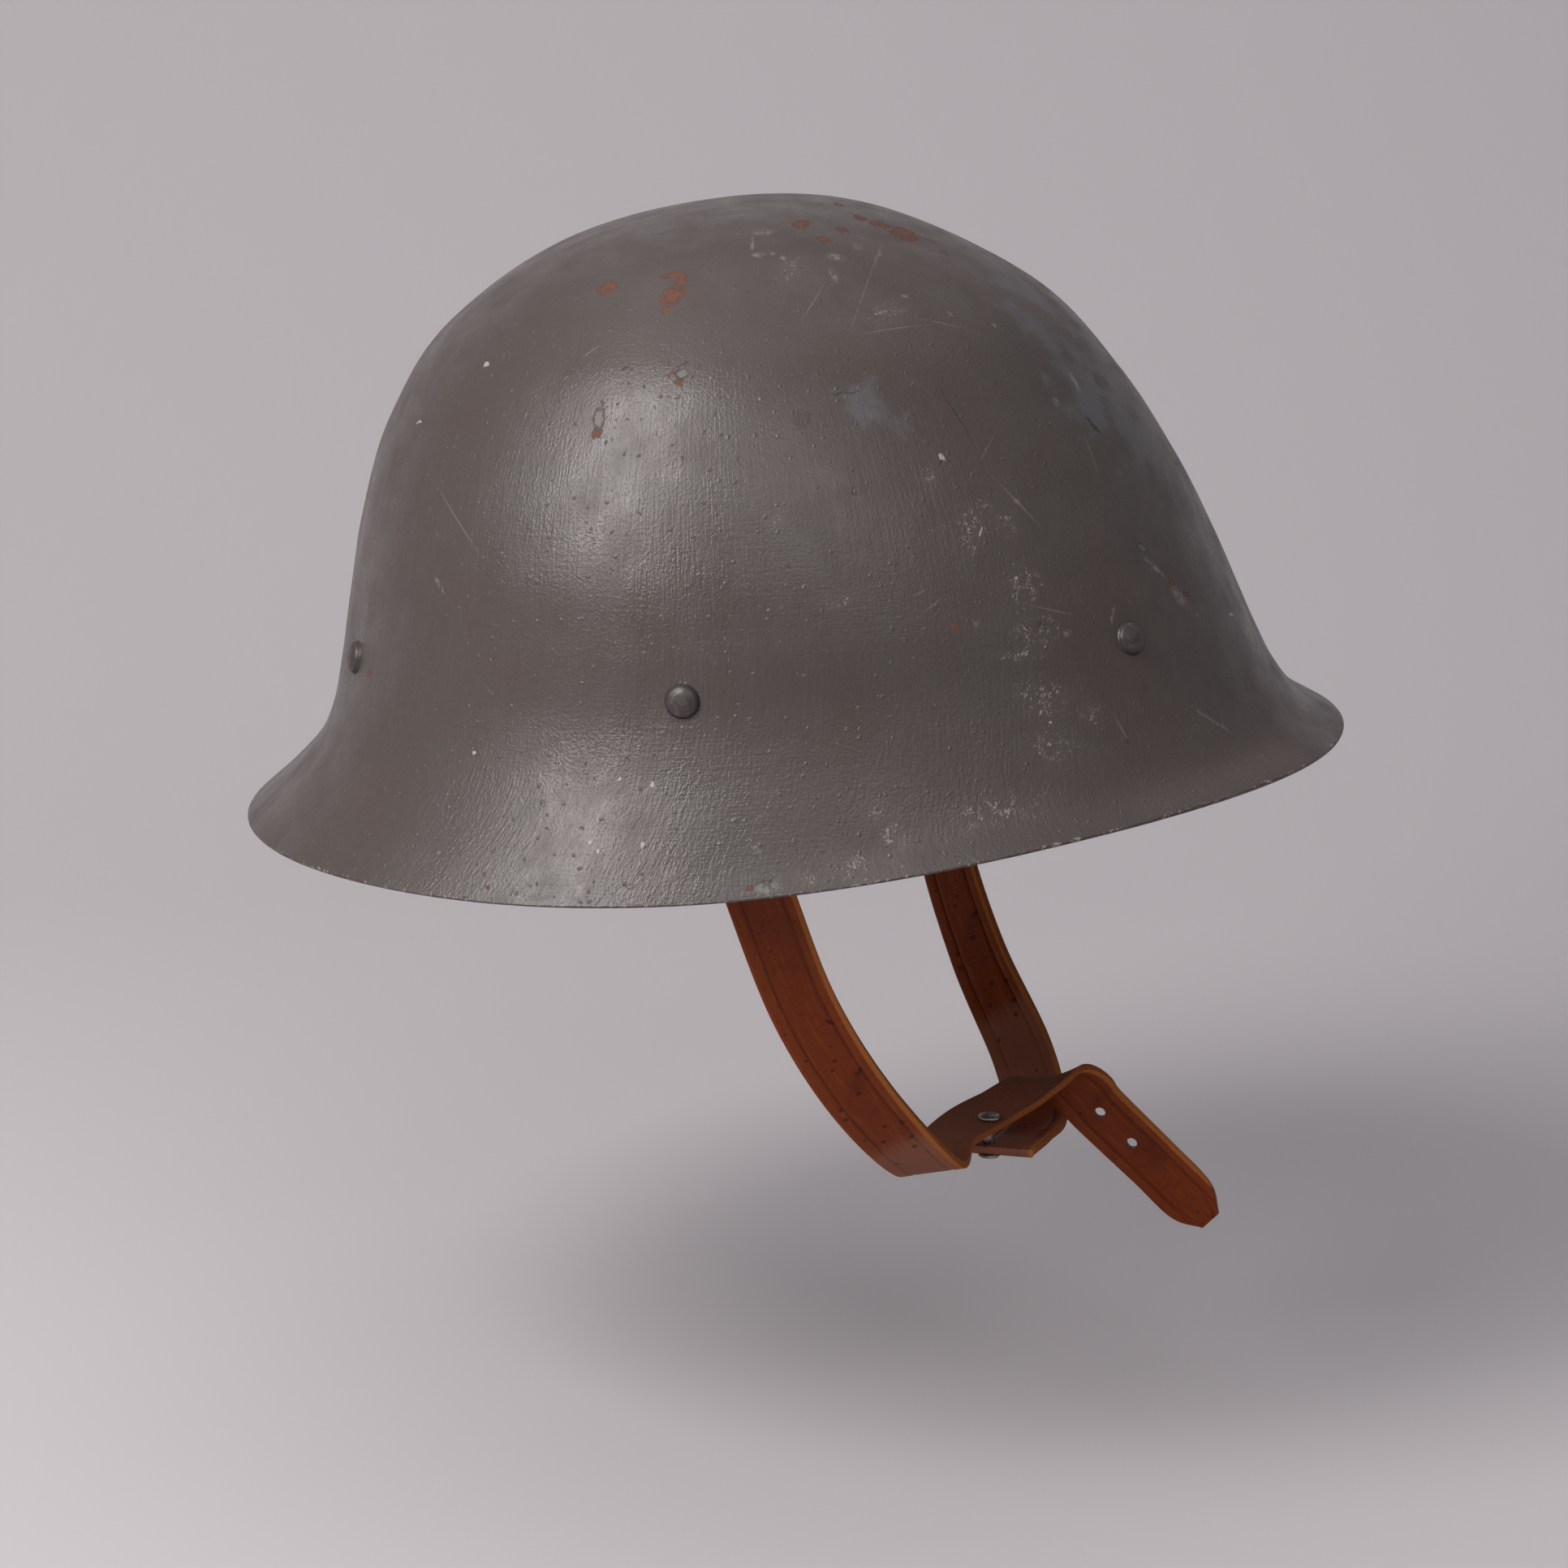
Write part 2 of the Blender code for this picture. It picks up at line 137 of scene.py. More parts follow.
# The steps that aren't a plain operation of a Math or Vector Math node: the node, its settings, and the
# inputs that the rest of the row fills
RAMP_INPUTS = ("Value", "From Min", "From Max", "To Min", "To Max")
NOISE_INPUTS = ("Vector", "Scale", "Detail", "Roughness", "Distortion")
STEP_KINDS = {
    "JOIN": ("ShaderNodeCombineXYZ", {}, ("X", "Y", "Z")),
    "SPLIT": ("ShaderNodeSeparateXYZ", {}, ("Vector",)),
    "SPLIT_COLOUR": ("ShaderNodeSeparateColor", {}, ("Color",)),
    "SCALE": ("ShaderNodeVectorMath", {"operation": "SCALE"}, (0, "Scale")),
    "STRETCH": ("ShaderNodeMapping", {}, ("Vector", "Scale")),
    "TURN_X": ("ShaderNodeVectorRotate", {"rotation_type": "X_AXIS"}, ("Vector", "Angle")),
    "TURN_Z": ("ShaderNodeVectorRotate", {"rotation_type": "Z_AXIS"}, ("Vector", "Angle")),
    "RAMP": ("ShaderNodeMapRange", {}, RAMP_INPUTS),
    "EASE": ("ShaderNodeMapRange", {"interpolation_type": "SMOOTHSTEP"}, RAMP_INPUTS),
    "MIX": ("ShaderNodeMix", {}, (0, 2, 3)),
    "BLEND": ("ShaderNodeMix", {"data_type": "RGBA"}, (0, 6, 7)),
    "TINT": ("ShaderNodeMix", {"data_type": "RGBA", "blend_type": "MULTIPLY"}, (0, 6, 7)),
    "NOISE": ("ShaderNodeTexNoise", {}, NOISE_INPUTS),
    "NOISE_4D": ("ShaderNodeTexNoise", {"noise_dimensions": "4D"}, ("W",) + NOISE_INPUTS[1:]),
    "CELLS": ("ShaderNodeTexVoronoi", {}, ("Vector", "Scale")),
    "SMOOTH_CELLS": ("ShaderNodeTexVoronoi", {"feature": "SMOOTH_F1"}, ("Vector", "Scale", "Smoothness")),
}
ATTRIBUTE_FIELDS = {"FLOAT": "value", "FLOAT_VECTOR": "vector", "FLOAT_COLOR": "color"}
MERGE_WITHIN = 0.01 * MM


def colour(value):
    """The linear colour of an sRGB hex value."""
    parts = [int(value[place:place + 2], 16) / 255 for place in (1, 3, 5)]
    return (*[part / 12.92 if part <= 0.04045 else ((part + 0.055) / 1.055) ** 2.4 for part in parts], 1.0)


def feed(tree, node, inputs):
    """Gives each input a value, a hex colour, a socket, or a node's first output in use."""
    for name, value in inputs.items():
        if isinstance(value, bpy.types.Node):
            value = next(output for output in value.outputs if output.enabled)
        if isinstance(value, bpy.types.NodeSocket):
            tree.links.new(value, node.inputs[name])
        else:
            is_colour = isinstance(value, str) and value.startswith("#")
            node.inputs[name].default_value = colour(value) if is_colour else value


def add(tree, kind, settings={}, inputs={}):
    """Adds a node with its settings and its inputs."""
    made = tree.nodes.new(kind)
    for name, value in settings.items():
        setattr(made, name, value)
    feed(tree, made, inputs)
    return made


def follow(tree, value, steps):
    """Adds a node for each step. A term is a result's name, one of its outputs, or a plain value."""
    for result, operation, *terms in steps:
        vector = operation.startswith("VECTOR_")
        kind, settings, inputs = STEP_KINDS.get(operation, (
            "ShaderNodeVectorMath" if vector else "ShaderNodeMath",
            {"operation": operation.removeprefix("VECTOR_")}, (0, 1, 2)))
        for place, term in enumerate(terms):
            if term in value:
                terms[place] = value[term]
            elif isinstance(term, str) and "." in term:
                name, output = term.split(".")
                terms[place] = value[name].outputs[output]
        value[result] = add(tree, kind, settings, dict(zip(inputs, terms)))


def new_tree(name, inputs):
    """A Geometry Nodes tree with a geometry in and out and named inputs, and what it is given, by name."""
    tree = bpy.data.node_groups.new(name, "GeometryNodeTree")
    for in_out in ("INPUT", "OUTPUT"):
        tree.interface.new_socket("Geometry", in_out=in_out, socket_type="NodeSocketGeometry")
    for label, kind in inputs.items():
        tree.interface.new_socket(label, in_out="INPUT", socket_type="NodeSocket" + kind)
    given = tree.nodes.new("NodeGroupInput")
    return tree, {output.name: output for output in given.outputs}


def store(mesh, name, kind, values, domain="POINT"):
    """Stores a value, or a vector or colour, for each point or corner of a mesh."""
    mesh.attributes.new(name, kind, domain).data.foreach_set(ATTRIBUTE_FIELDS[kind], np.ravel(values))


def line_of(name, points, values, closed=False):
    """Points joined in a line, which carry named values, or named directions, for a tree to read."""
    mesh = bpy.data.meshes.new(name)
    steps = [(index, index + 1) for index in range(len(points) - 1)]
    mesh.from_pydata(points, steps + [(len(points) - 1, 0)] * closed, [])
    for label, column in values.items():
        column = np.array(column, dtype=float)
        store(mesh, label, "FLOAT" if column.ndim == 1 else "FLOAT_VECTOR", column)
    made = bpy.data.objects.new(name, mesh)
    scene.collection.objects.link(made)
    return made


def made_by(tree, name, source, inputs):
    """Runs a tree on an object and returns its result as a plain mesh object. The source is removed."""
    modifier = source.modifiers.new(name, "NODES")
    modifier.node_group = tree
    for socket in tree.interface.items_tree:
        if socket.in_out == "INPUT" and socket.name in inputs:
            modifier[socket.identifier] = inputs[socket.name]
    evaluated = source.evaluated_get(bpy.context.evaluated_depsgraph_get())
    made = bpy.data.objects.new(name, bpy.data.meshes.new_from_object(evaluated))
    scene.collection.objects.link(made)
    bpy.data.objects.remove(source, do_unlink=True)
    return made


def shell_rows():
    """Rows in metres: one beyond the pole, the pole, one for each section, and one past the rim."""
    rows = [(0.0,) * len(ROW_VALUES)]
    for front, rear, side, front_drop, side_drop, rear_drop, narrowing, corners in SECTIONS.values():
        rows.append((
            (rear - front) / 2 * HALF_LENGTH, (rear + front) / 2 * HALF_LENGTH, side * HALF_WIDTH,
            (front_drop + rear_drop + 2 * side_drop) / 4 * HEIGHT, (front_drop - rear_drop) / 2 * HEIGHT,
            (front_drop + rear_drop - 2 * side_drop) / 4 * HEIGHT, narrowing, corners * HEIGHT))
    mirrored = (-1, -1, -1, 1, -1, 1, 1, 1)
    beyond = tuple(value * sign for value, sign in zip(rows[1], mirrored))
    past = tuple(2 * last - previous for previous, last in zip(rows[-2], rows[-1]))
    return [beyond] + rows + [past]


def curve_through(tree, value, steps):
    """The line that a tree is given, as a smooth curve through its points."""
    path = add(tree, "GeometryNodeMeshToCurve", {}, {"Mesh": value["Geometry"]})
    path = add(tree, "GeometryNodeCurveSplineType", {"spline_type": "CATMULL_ROM"}, {"Curve": path})
    return add(tree, "GeometryNodeSetSplineResolution", {}, {"Geometry": path, "Resolution": value[steps]})


def ring_along(tree, value, path):
    """A ring swept along a path. Each of its points keeps its turn round the ring."""
    ring = add(tree, "GeometryNodeCurvePrimitiveCircle", {}, {"Resolution": value["Faces Around"]})
    value["round_ring"] = add(tree, "GeometryNodeSplineParameter")
    follow(tree, value, (("ring_turn", "MULTIPLY", "round_ring", math.tau),))
    ring = add(tree, "GeometryNodeStoreNamedAttribute", {},
               {"Geometry": ring, "Name": "turn", "Value": value["ring_turn"]})
    return add(tree, "GeometryNodeCurveToMesh", {}, {"Curve": path, "Profile Curve": ring})


def pressed_shell_tree():
    """Sweeps a ring down the rows and moves each point to where its row and its turn put it."""
    tree, value = new_tree("pressed shell", {
        "Faces Around": "Int", "Faces per Section": "Int", "Sections": "Float", "Pole Back": "Float",
        "Lean": "Float", "Lift": "Float", "Uneven": "Float", "Uneven Size": "Float", "Seed": "Float"})
    path = curve_through(tree, value, "Faces per Section")
    row_place = add(tree, "ShaderNodeSeparateXYZ", {}, {"Vector": add(tree, "GeometryNodeInputPosition")})
    path = add(tree, "GeometryNodeStoreNamedAttribute", {},
               {"Geometry": path, "Name": "section", "Value": row_place.outputs["X"]})
    swept = ring_along(tree, value, path)
    value["normal"] = add(tree, "GeometryNodeInputNormal")
    for name in ("section", "turn") + ROW_VALUES:
        value[name] = add(tree, "GeometryNodeInputNamedAttribute", {}, {"Name": name})
    follow(tree, value, SHELL_FORMULA)
    bell = add(tree, "GeometryNodeSetPosition", {}, {"Geometry": swept, "Position": value["seat"]})
    bell = add(tree, "GeometryNodeDeleteGeometry", {"domain": "FACE"},
               {"Geometry": bell, "Selection": value["outside"]})
    bell = add(tree, "GeometryNodeMergeByDistance", {}, {"Geometry": bell, "Distance": MERGE_WITHIN})
    bell = add(tree, "GeometryNodeSetPosition", {}, {"Geometry": bell, "Offset": value["offset"]})
    bell = add(tree, "GeometryNodeStoreNamedAttribute", {"data_type": "FLOAT_VECTOR"},
               {"Geometry": bell, "Name": "round_crown", "Value": value["round_crown"]})
    smooth = add(tree, "GeometryNodeSetShadeSmooth", {}, {"Geometry": bell})
    add(tree, "NodeGroupOutput", {}, {"Geometry": smooth})
    return tree


rows = shell_rows()
row_line = line_of(
    "shell rows", [(index - 1.0, 0.0, 0.0) for index in range(len(rows))], dict(zip(ROW_VALUES, zip(*rows))))
shell = made_by(pressed_shell_tree(), "helmet_shell", row_line, {
    "Faces Around": FACES_AROUND, "Faces per Section": FACES_PER_SECTION, "Sections": float(len(SECTIONS)),
    "Pole Back": POLE_BACK, "Lean": -WEAR_TILT, "Lift": STEEL, "Uneven": UNEVEN, "Uneven Size": UNEVEN_SIZE,
    "Seed": SEED})
shell_surface = BVHTree.FromObject(shell, bpy.context.evaluated_depsgraph_get())

wall = shell.modifiers.new("steel sheet", "SOLIDIFY")
wall.thickness = STEEL
wall.offset = -1
wall.material_offset = 1
rim = shell.modifiers.new("rounded rim", "BEVEL")
rim.width = RIM_ROUNDING
rim.segments = 2
rim.limit_method = "ANGLE"
rim.angle_limit = SHARP_STEEL
rim.harden_normals = True


def new_material(name, **attributes):
    """A material of a Principled BSDF alone, its tree and shader, and its place and attributes by name."""
    made = bpy.data.materials.new(name)
    made.use_nodes = True
    tree = made.node_tree
    value = {"place": add(tree, "ShaderNodeTexCoord").outputs["Object"]}
    for label, output in attributes.items():
        value[label] = add(tree, "ShaderNodeAttribute", {"attribute_name": label}).outputs[output]
    return made, tree, tree.nodes["Principled BSDF"], value


def lay_finishes(tree, value, layers):
    """Lays finishes over a surface: each one's mask, how much of it shows, colour, roughness and rise."""
    for name, share, tint, roughness, height in layers:
        follow(tree, value, (
            ("shows", "MULTIPLY", name, share),
            ("surface", "BLEND", "shows", "surface", tint),
            ("gloss", "MIX", "shows", "gloss", roughness),
            ("rise", "MULTIPLY_ADD", name, height, "rise")))


def dress(tree, shader, value, rise_size=MM):
    """Gives a shader its surface's colour and roughness, and its rise as relief."""
    relief = add(tree, "ShaderNodeBump", {}, {
        "Height": value["rise"], "Distance": rise_size, "Strength": 1.0})
    feed(tree, shader, {"Base Color": value["surface"], "Roughness": value["gloss"], "Normal": relief})


# Marks on the paint, as they lie in the view: how far across and down, their length and width, all in
# pixels, and how many degrees their length turns up from the right.
MARKS = {
    "rust": (
        (987, 276, 24, 13, -10), (1014, 295, 15, 9, -25), (1038, 283, 14, 7, 0), (1060, 269, 18, 7, -10),
        (1083, 276, 34, 8, -10), (1112, 287, 44, 16, -14), (1033, 252, 10, 5, -5), (748, 354, 32, 15, 8),
        (830, 339, 38, 9, 2), (840, 346, 17, 20, 0), (829, 364, 34, 28, 60), (821, 381, 16, 12, 60),
        (827, 462, 8, 10, 0), (836, 471, 14, 8, 0), (735, 533, 15, 19, 20), (1176, 773, 10, 14, 0),
        (1129, 787, 8, 6, 0), (1401, 692, 8, 6, 0), (1444, 717, 10, 10, 0), (1461, 732, 8, 10, 0),
        (455, 829, 7, 10, 0), (924, 1095, 12, 9, 20), (597, 1076, 6, 6, 0), (600, 1093, 7, 6, 0),
        (483, 1078, 7, 6, 0)),
    "brown": (
        (1143, 296, 28, 9, -25), (1163, 311, 14, 7, -40), (988, 516, 30, 26, 20), (650, 472, 9, 8, 0),
        (667, 494, 12, 6, 20), (1053, 607, 9, 12, 0), (1282, 422, 12, 7, 0), (1356, 470, 18, 26, 0),
        (1278, 774, 34, 18, 10), (864, 450, 9, 9, 0), (574, 999, 5, 5, 0), (586, 996, 5, 5, 0),
        (580, 1014, 6, 6, 0), (563, 1023, 6, 5, 0), (570, 1038, 5, 5, 0), (562, 1050, 6, 4, 0),
        (554, 1059, 6, 5, 0), (623, 1043, 7, 6, 0), (643, 995, 6, 6, 0), (686, 913, 6, 5, 0),
        (616, 933, 6, 5, 0), (647, 932, 5, 5, 0), (758, 924, 7, 6, 0), (883, 909, 6, 6, 0),
        (982, 1047, 8, 5, 0), (1013, 1049, 7, 5, 0), (929, 1065, 6, 5, 0), (958, 1066, 7, 5, 0),
        (1228, 471, 5, 5, 0), (1256, 522, 6, 4, 0), (1272, 585, 6, 5, 0), (1450, 571, 6, 5, 0)),
    "bare": (
        (738, 516, 36, 17, 80), (840, 461, 20, 14, 20), (1407, 676, 16, 8, -25), (668, 989, 8, 9, 0),
        (775, 1093, 14, 4, 0), (1052, 605, 6, 8, 0)),
    "scuff": (
        (940, 287, 30, 7, 5), (927, 300, 24, 5, 85), (934, 314, 22, 8, 8), (952, 312, 10, 5, 0),
        (965, 318, 9, 8, 0), (1031, 317, 26, 10, -8), (1027, 339, 12, 20, 0), (1057, 304, 13, 8, -20),
        (1083, 312, 34, 5, 70), (712, 1095, 26, 24, 30), (930, 1044, 34, 7, -60), (1453, 735, 32, 14, -50),
        (1422, 698, 48, 6, -45), (1475, 759, 9, 6, -40), (790, 456, 22, 3, -8), (542, 722, 30, 6, -60),
        (1371, 757, 28, 5, 80), (1493, 887, 64, 4, -32), (1301, 495, 8, 12, 0), (1324, 470, 44, 5, -60),
        (1087, 385, 16, 5, 20), (1115, 365, 12, 6, 0), (1172, 387, 12, 4, -40), (1227, 402, 14, 4, -20),
        (945, 1094, 44, 18, 6), (1315, 780, 12, 12, 0), (1253, 617, 9, 9, 0), (1203, 767, 10, 16, 0)),
    "specks": (
        (1163, 562, 9, 8, 0), (1200, 645, 90, 60, 40), (1198, 674, 60, 22, 62), (1145, 590, 26, 36, 0),
        (1157, 653, 34, 16, 20), (1235, 640, 70, 46, -40), (1262, 720, 70, 70, 0), (1275, 775, 90, 60, 0),
        (1265, 806, 90, 26, 5), (1285, 860, 90, 70, 0), (1300, 915, 90, 70, 0), (1345, 880, 50, 40, 0),
        (1077, 1003, 44, 40, 60), (1100, 1030, 40, 70, 10), (1045, 1070, 90, 40, 20),
        (1000, 1082, 50, 34, 20), (1072, 1083, 34, 20, 0), (1112, 1066, 30, 26, 0), (1167, 1037, 20, 14, 0),
        (1218, 993, 16, 20, 0), (1030, 740, 60, 24, 10), (958, 640, 40, 26, 30), (815, 1080, 50, 24, 20),
        (1095, 385, 70, 40, 20), (975, 330, 60, 30, 40), (1225, 1000, 180, 60, 10)),
    "chips": (
        (1161, 562, 10, 8, -20), (600, 449, 7, 6, 0), (516, 520, 5, 5, 0), (764, 961, 5, 5, 0),
        (726, 1039, 5, 5, 0), (791, 1042, 6, 8, 0), (737, 1050, 5, 7, 0), (803, 967, 5, 7, 0),
        (585, 927, 5, 5, 0), (1517, 757, 6, 4, 0), (1283, 878, 4, 8, 0), (1294, 890, 4, 4, 0),
        (1252, 712, 5, 4, 0), (1208, 655, 4, 14, -30)),
    "haze": (
        (1350, 462, 110, 56, -52), (1318, 424, 70, 34, -40), (1262, 398, 80, 30, -30),
        (1288, 466, 26, 18, -20), (1346, 516, 60, 44, -50), (1082, 500, 110, 60, 0),
        (1250, 352, 80, 34, -30), (1400, 545, 90, 40, -58)),
    "scratches": (
        (750, 995, 122, 2.4, 40), (767, 1005, 44, 2, 42), (643, 986, 20, 2.4, -62), (1382, 898, 42, 3, -61),
        (1134, 730, 16, 2.4, 35), (728, 433, 32, 2, 36), (1255, 620, 90, 2.4, -46),
        (1298, 752, 60, 2.4, -12), (563, 640, 110, 2, -58), (1064, 361, 109, 1.6, 70),
        (1002, 372, 50, 2, 58), (1100, 405, 90, 1.6, 8), (1160, 398, 70, 1.6, -12), (720, 960, 60, 1.6, 76),
        (735, 968, 50, 1.6, 72), (702, 985, 60, 1.6, 70), (1150, 745, 44, 1.8, 40),
        (1345, 560, 60, 1.6, -70), (1212, 560, 80, 1.4, 62)),
    "creases": (
        (841, 448, 22, 4, 20), (770, 453, 14, 5, 30), (1348, 525, 38, 5, -48), (1178, 509, 80, 2.4, -58),
        (1391, 914, 10, 4, -50), (1159, 570, 14, 3, 60), (944, 1086, 32, 2.4, 8), (1040, 484, 50, 2.4, 5)),
}
# Invented marks of the same kinds on the side that the view doesn't show, in the view mirrored left to right
FAR_MARKS = {
    "rust": (
        (905, 330, 30, 14, 20), (1240, 470, 20, 16, -30), (760, 1050, 26, 10, 12), (1010, 420, 12, 8, 0)),
    "brown": (
        (620, 560, 18, 12, 30), (1130, 880, 12, 10, 0), (930, 700, 9, 9, 0), (700, 1000, 8, 7, 0),
        (1330, 820, 10, 8, 0), (540, 900, 9, 7, 0)),
    "bare": ((905, 560, 22, 14, 60), (1190, 690, 18, 8, -30)),
    "scuff": (
        (1000, 300, 40, 8, -10), (820, 440, 30, 8, 50), (1300, 640, 50, 6, -50), (660, 980, 34, 16, 30)),
    "specks": ((860, 560, 120, 80, 30), (1180, 800, 110, 90, 0), (720, 1040, 110, 50, 10)),
    "chips": ((1190, 790, 7, 6, 0), (860, 540, 6, 9, 30), (700, 1042, 12, 6, 20)),
    "haze": ((1080, 400, 120, 60, -30), (640, 620, 90, 60, 60)),
    "scratches": ((840, 980, 110, 2.4, -35), (1160, 560, 80, 2.4, 50), (620, 760, 60, 2.4, -70)),
    "creases": ((1010, 600, 30, 4, 30),),
}
MARK_DEPTH = 6 * MM
DEPTHS_AWAY = 2
OFF_ANY_MARK = (9.0, 9.0, 0.0, 0.0)
SPREAD_KINDS = ("specks", "haze")


def mark_frame(mark, mirrored):
    """A mark's middle on the shell, its directions and its half sizes, with the surface's slant undone."""
    across, down, long, wide, turn = mark
    half = FRAME_PIXELS / 2
    eye = camera.rotation_euler.to_matrix()
    start = CAMERA_AT.copy()
    ray = eye @ Vector(((across - half) / half * SENSOR / 2, (half - down) / half * SENSOR / 2, -LENS))
    along = eye @ Vector((math.cos(math.radians(turn)), math.sin(math.radians(turn)), 0))
    ray.normalize()
    if mirrored:
        for direction in (start, ray, along):
            direction.x = -direction.x
    middle, normal, _, distance = shell_surface.ray_cast(start, ray)
    pixel = distance * SENSOR / LENS / FRAME_PIXELS
    facing = abs(ray.dot(normal))
    along -= ray * (along.dot(normal) / ray.dot(normal))
    stretch = along.length
    along.normalize()
    halves = (long / 2 * pixel * stretch, wide / 2 * pixel / (facing * stretch), MARK_DEPTH)
    return middle, (along, normal.cross(along), normal), halves


def nearest_marks(places, kind):
    """For each place, its distance in half sizes from the nearest mark of a kind, and that mark's frame."""
    frames = [mark_frame(mark, mirrored) for marks, mirrored in ((MARKS, False), (FAR_MARKS, True))
              for mark in marks[kind]]
    middles, directions, halves = (np.array(column) for column in zip(*frames))
    distances = np.array([np.linalg.norm((places - middle) @ axes.T / half, axis=1)
                          for middle, axes, half in zip(middles, directions, halves)])
    nearest = distances.argmin(axis=0)
    return distances.min(axis=0), middles[nearest], directions[nearest], halves[nearest]


def read_mesh(items, field, width, kind=float):
    """One value or vector of each item of a mesh, as rows."""
    values = np.empty(len(items) * width, kind)
    items.foreach_get(field, values)
    return values.reshape(-1, width)


def carry_marks(mesh, kind):
    """Stores on the corners of each face their place in its nearest mark's frame, and a millimetre there."""
    points = read_mesh(mesh.vertices, "co", 3)
    if kind in SPREAD_KINDS:
        store(mesh, kind + " marks", "FLOAT", nearest_marks(points, kind)[0])
        return
    centres = read_mesh(mesh.polygons, "center", 3)
    _, middles, directions, halves = nearest_marks(centres, kind)
    face = np.repeat(np.arange(len(centres)), read_mesh(mesh.polygons, "loop_total", 1, int)[:, 0])
    offsets = points[read_mesh(mesh.loops, "vertex_index", 1, int)[:, 0]] - middles[face]
    local = np.einsum("ci,cji->cj", offsets, directions[face]) / halves[face]
    carried = np.hstack((local[:, :2], MM / halves[face][:, :2]))
    depth = np.einsum("ci,ci->c", centres - middles, directions[:, 2]) / MARK_DEPTH
    carried[np.abs(depth)[face] > DEPTHS_AWAY] = OFF_ANY_MARK
    store(mesh, kind + " marks", "FLOAT_COLOR", carried, "CORNER")


for kind in MARKS:
    carry_marks(shell.data, kind)

# Enamel brushed on by hand: a warm grey with a silky, not mirror-like highlight that the brush marks and a
# fine grit break up. Brush marks, grit and nodules are finer on the real shell; here they're drawn a little
# coarser, so that they show. WOBBLE is in millimetres, and so are the brush marks: across and along.
WOBBLE = 1.3
BRUSH_MARKS = {"fine": (0.9, 7.0), "broad": (5.0, 60.0), "level": (16.0, 0.7)}
BRUSH_LEAN = 0.018
ROUND_SIZE = 125.0
SECTION_SIZE = 18.0
BASE_STEPS = (
    ("wobble", "NOISE", "place", 1 / (3.2 * MM), 3.0, 0.7),
    ("patches", "NOISE", "place", 1 / (42 * MM), 2.0, 0.6),
    ("mottle", "NOISE", "place", 1 / (13 * MM), 3.0, 0.62),
    ("peel", "NOISE", "place", 1 / (5 * MM), 1.0, 0.5),
    ("grit", "NOISE", "place", 1 / (0.85 * MM), 2.0, 0.65),
    ("crumble", "NOISE", "place", 1 / (1.6 * MM), 2.0, 0.7),
    ("filament", "NOISE", "place", 1 / (2.6 * MM), 2.0, 0.6),
    ("shift", "VECTOR_MULTIPLY_ADD", "wobble.Color", (2 * WOBBLE,) * 3, (-WOBBLE,) * 3),
    ("shifted", "VECTOR_MULTIPLY_ADD", "shift", (MM,) * 3, "place"),
    ("ragged", "RAMP", "crumble", 0.3, 0.7, -0.3, 0.3),
    ("soft", "RAMP", "mottle", 0.35, 0.65, -0.9, 0.7),
    # Brush marks run down the wall, in coordinates that go round the crown and down its sections.
    ("rows", "SPLIT", "round_crown"),
    ("lean", "MULTIPLY", "rows.Z", BRUSH_LEAN),
    ("leaning", "TURN_Z", "round_crown", "lean"),
    ("down_wall", "EASE", "rows.Z", 1.5, 3.5),
)
# Each kind of mark: what breaks up its outline, and the distances at which it is full and gone
MARK_EDGES = {
    "rust": ("ragged", 0.80, 1.02), "brown": ("ragged", 0.60, 1.05), "bare": ("ragged", 0.86, 1.00),
    "scuff": ("ragged", 0.35, 1.20), "specks": ("ragged", 0.00, 1.60), "haze": ("soft", 0.05, 1.15),
    "chips": ("ragged", 0.75, 1.00), "scratches": (None, 0.30, 1.20), "creases": (None, 0.40, 1.20),
}
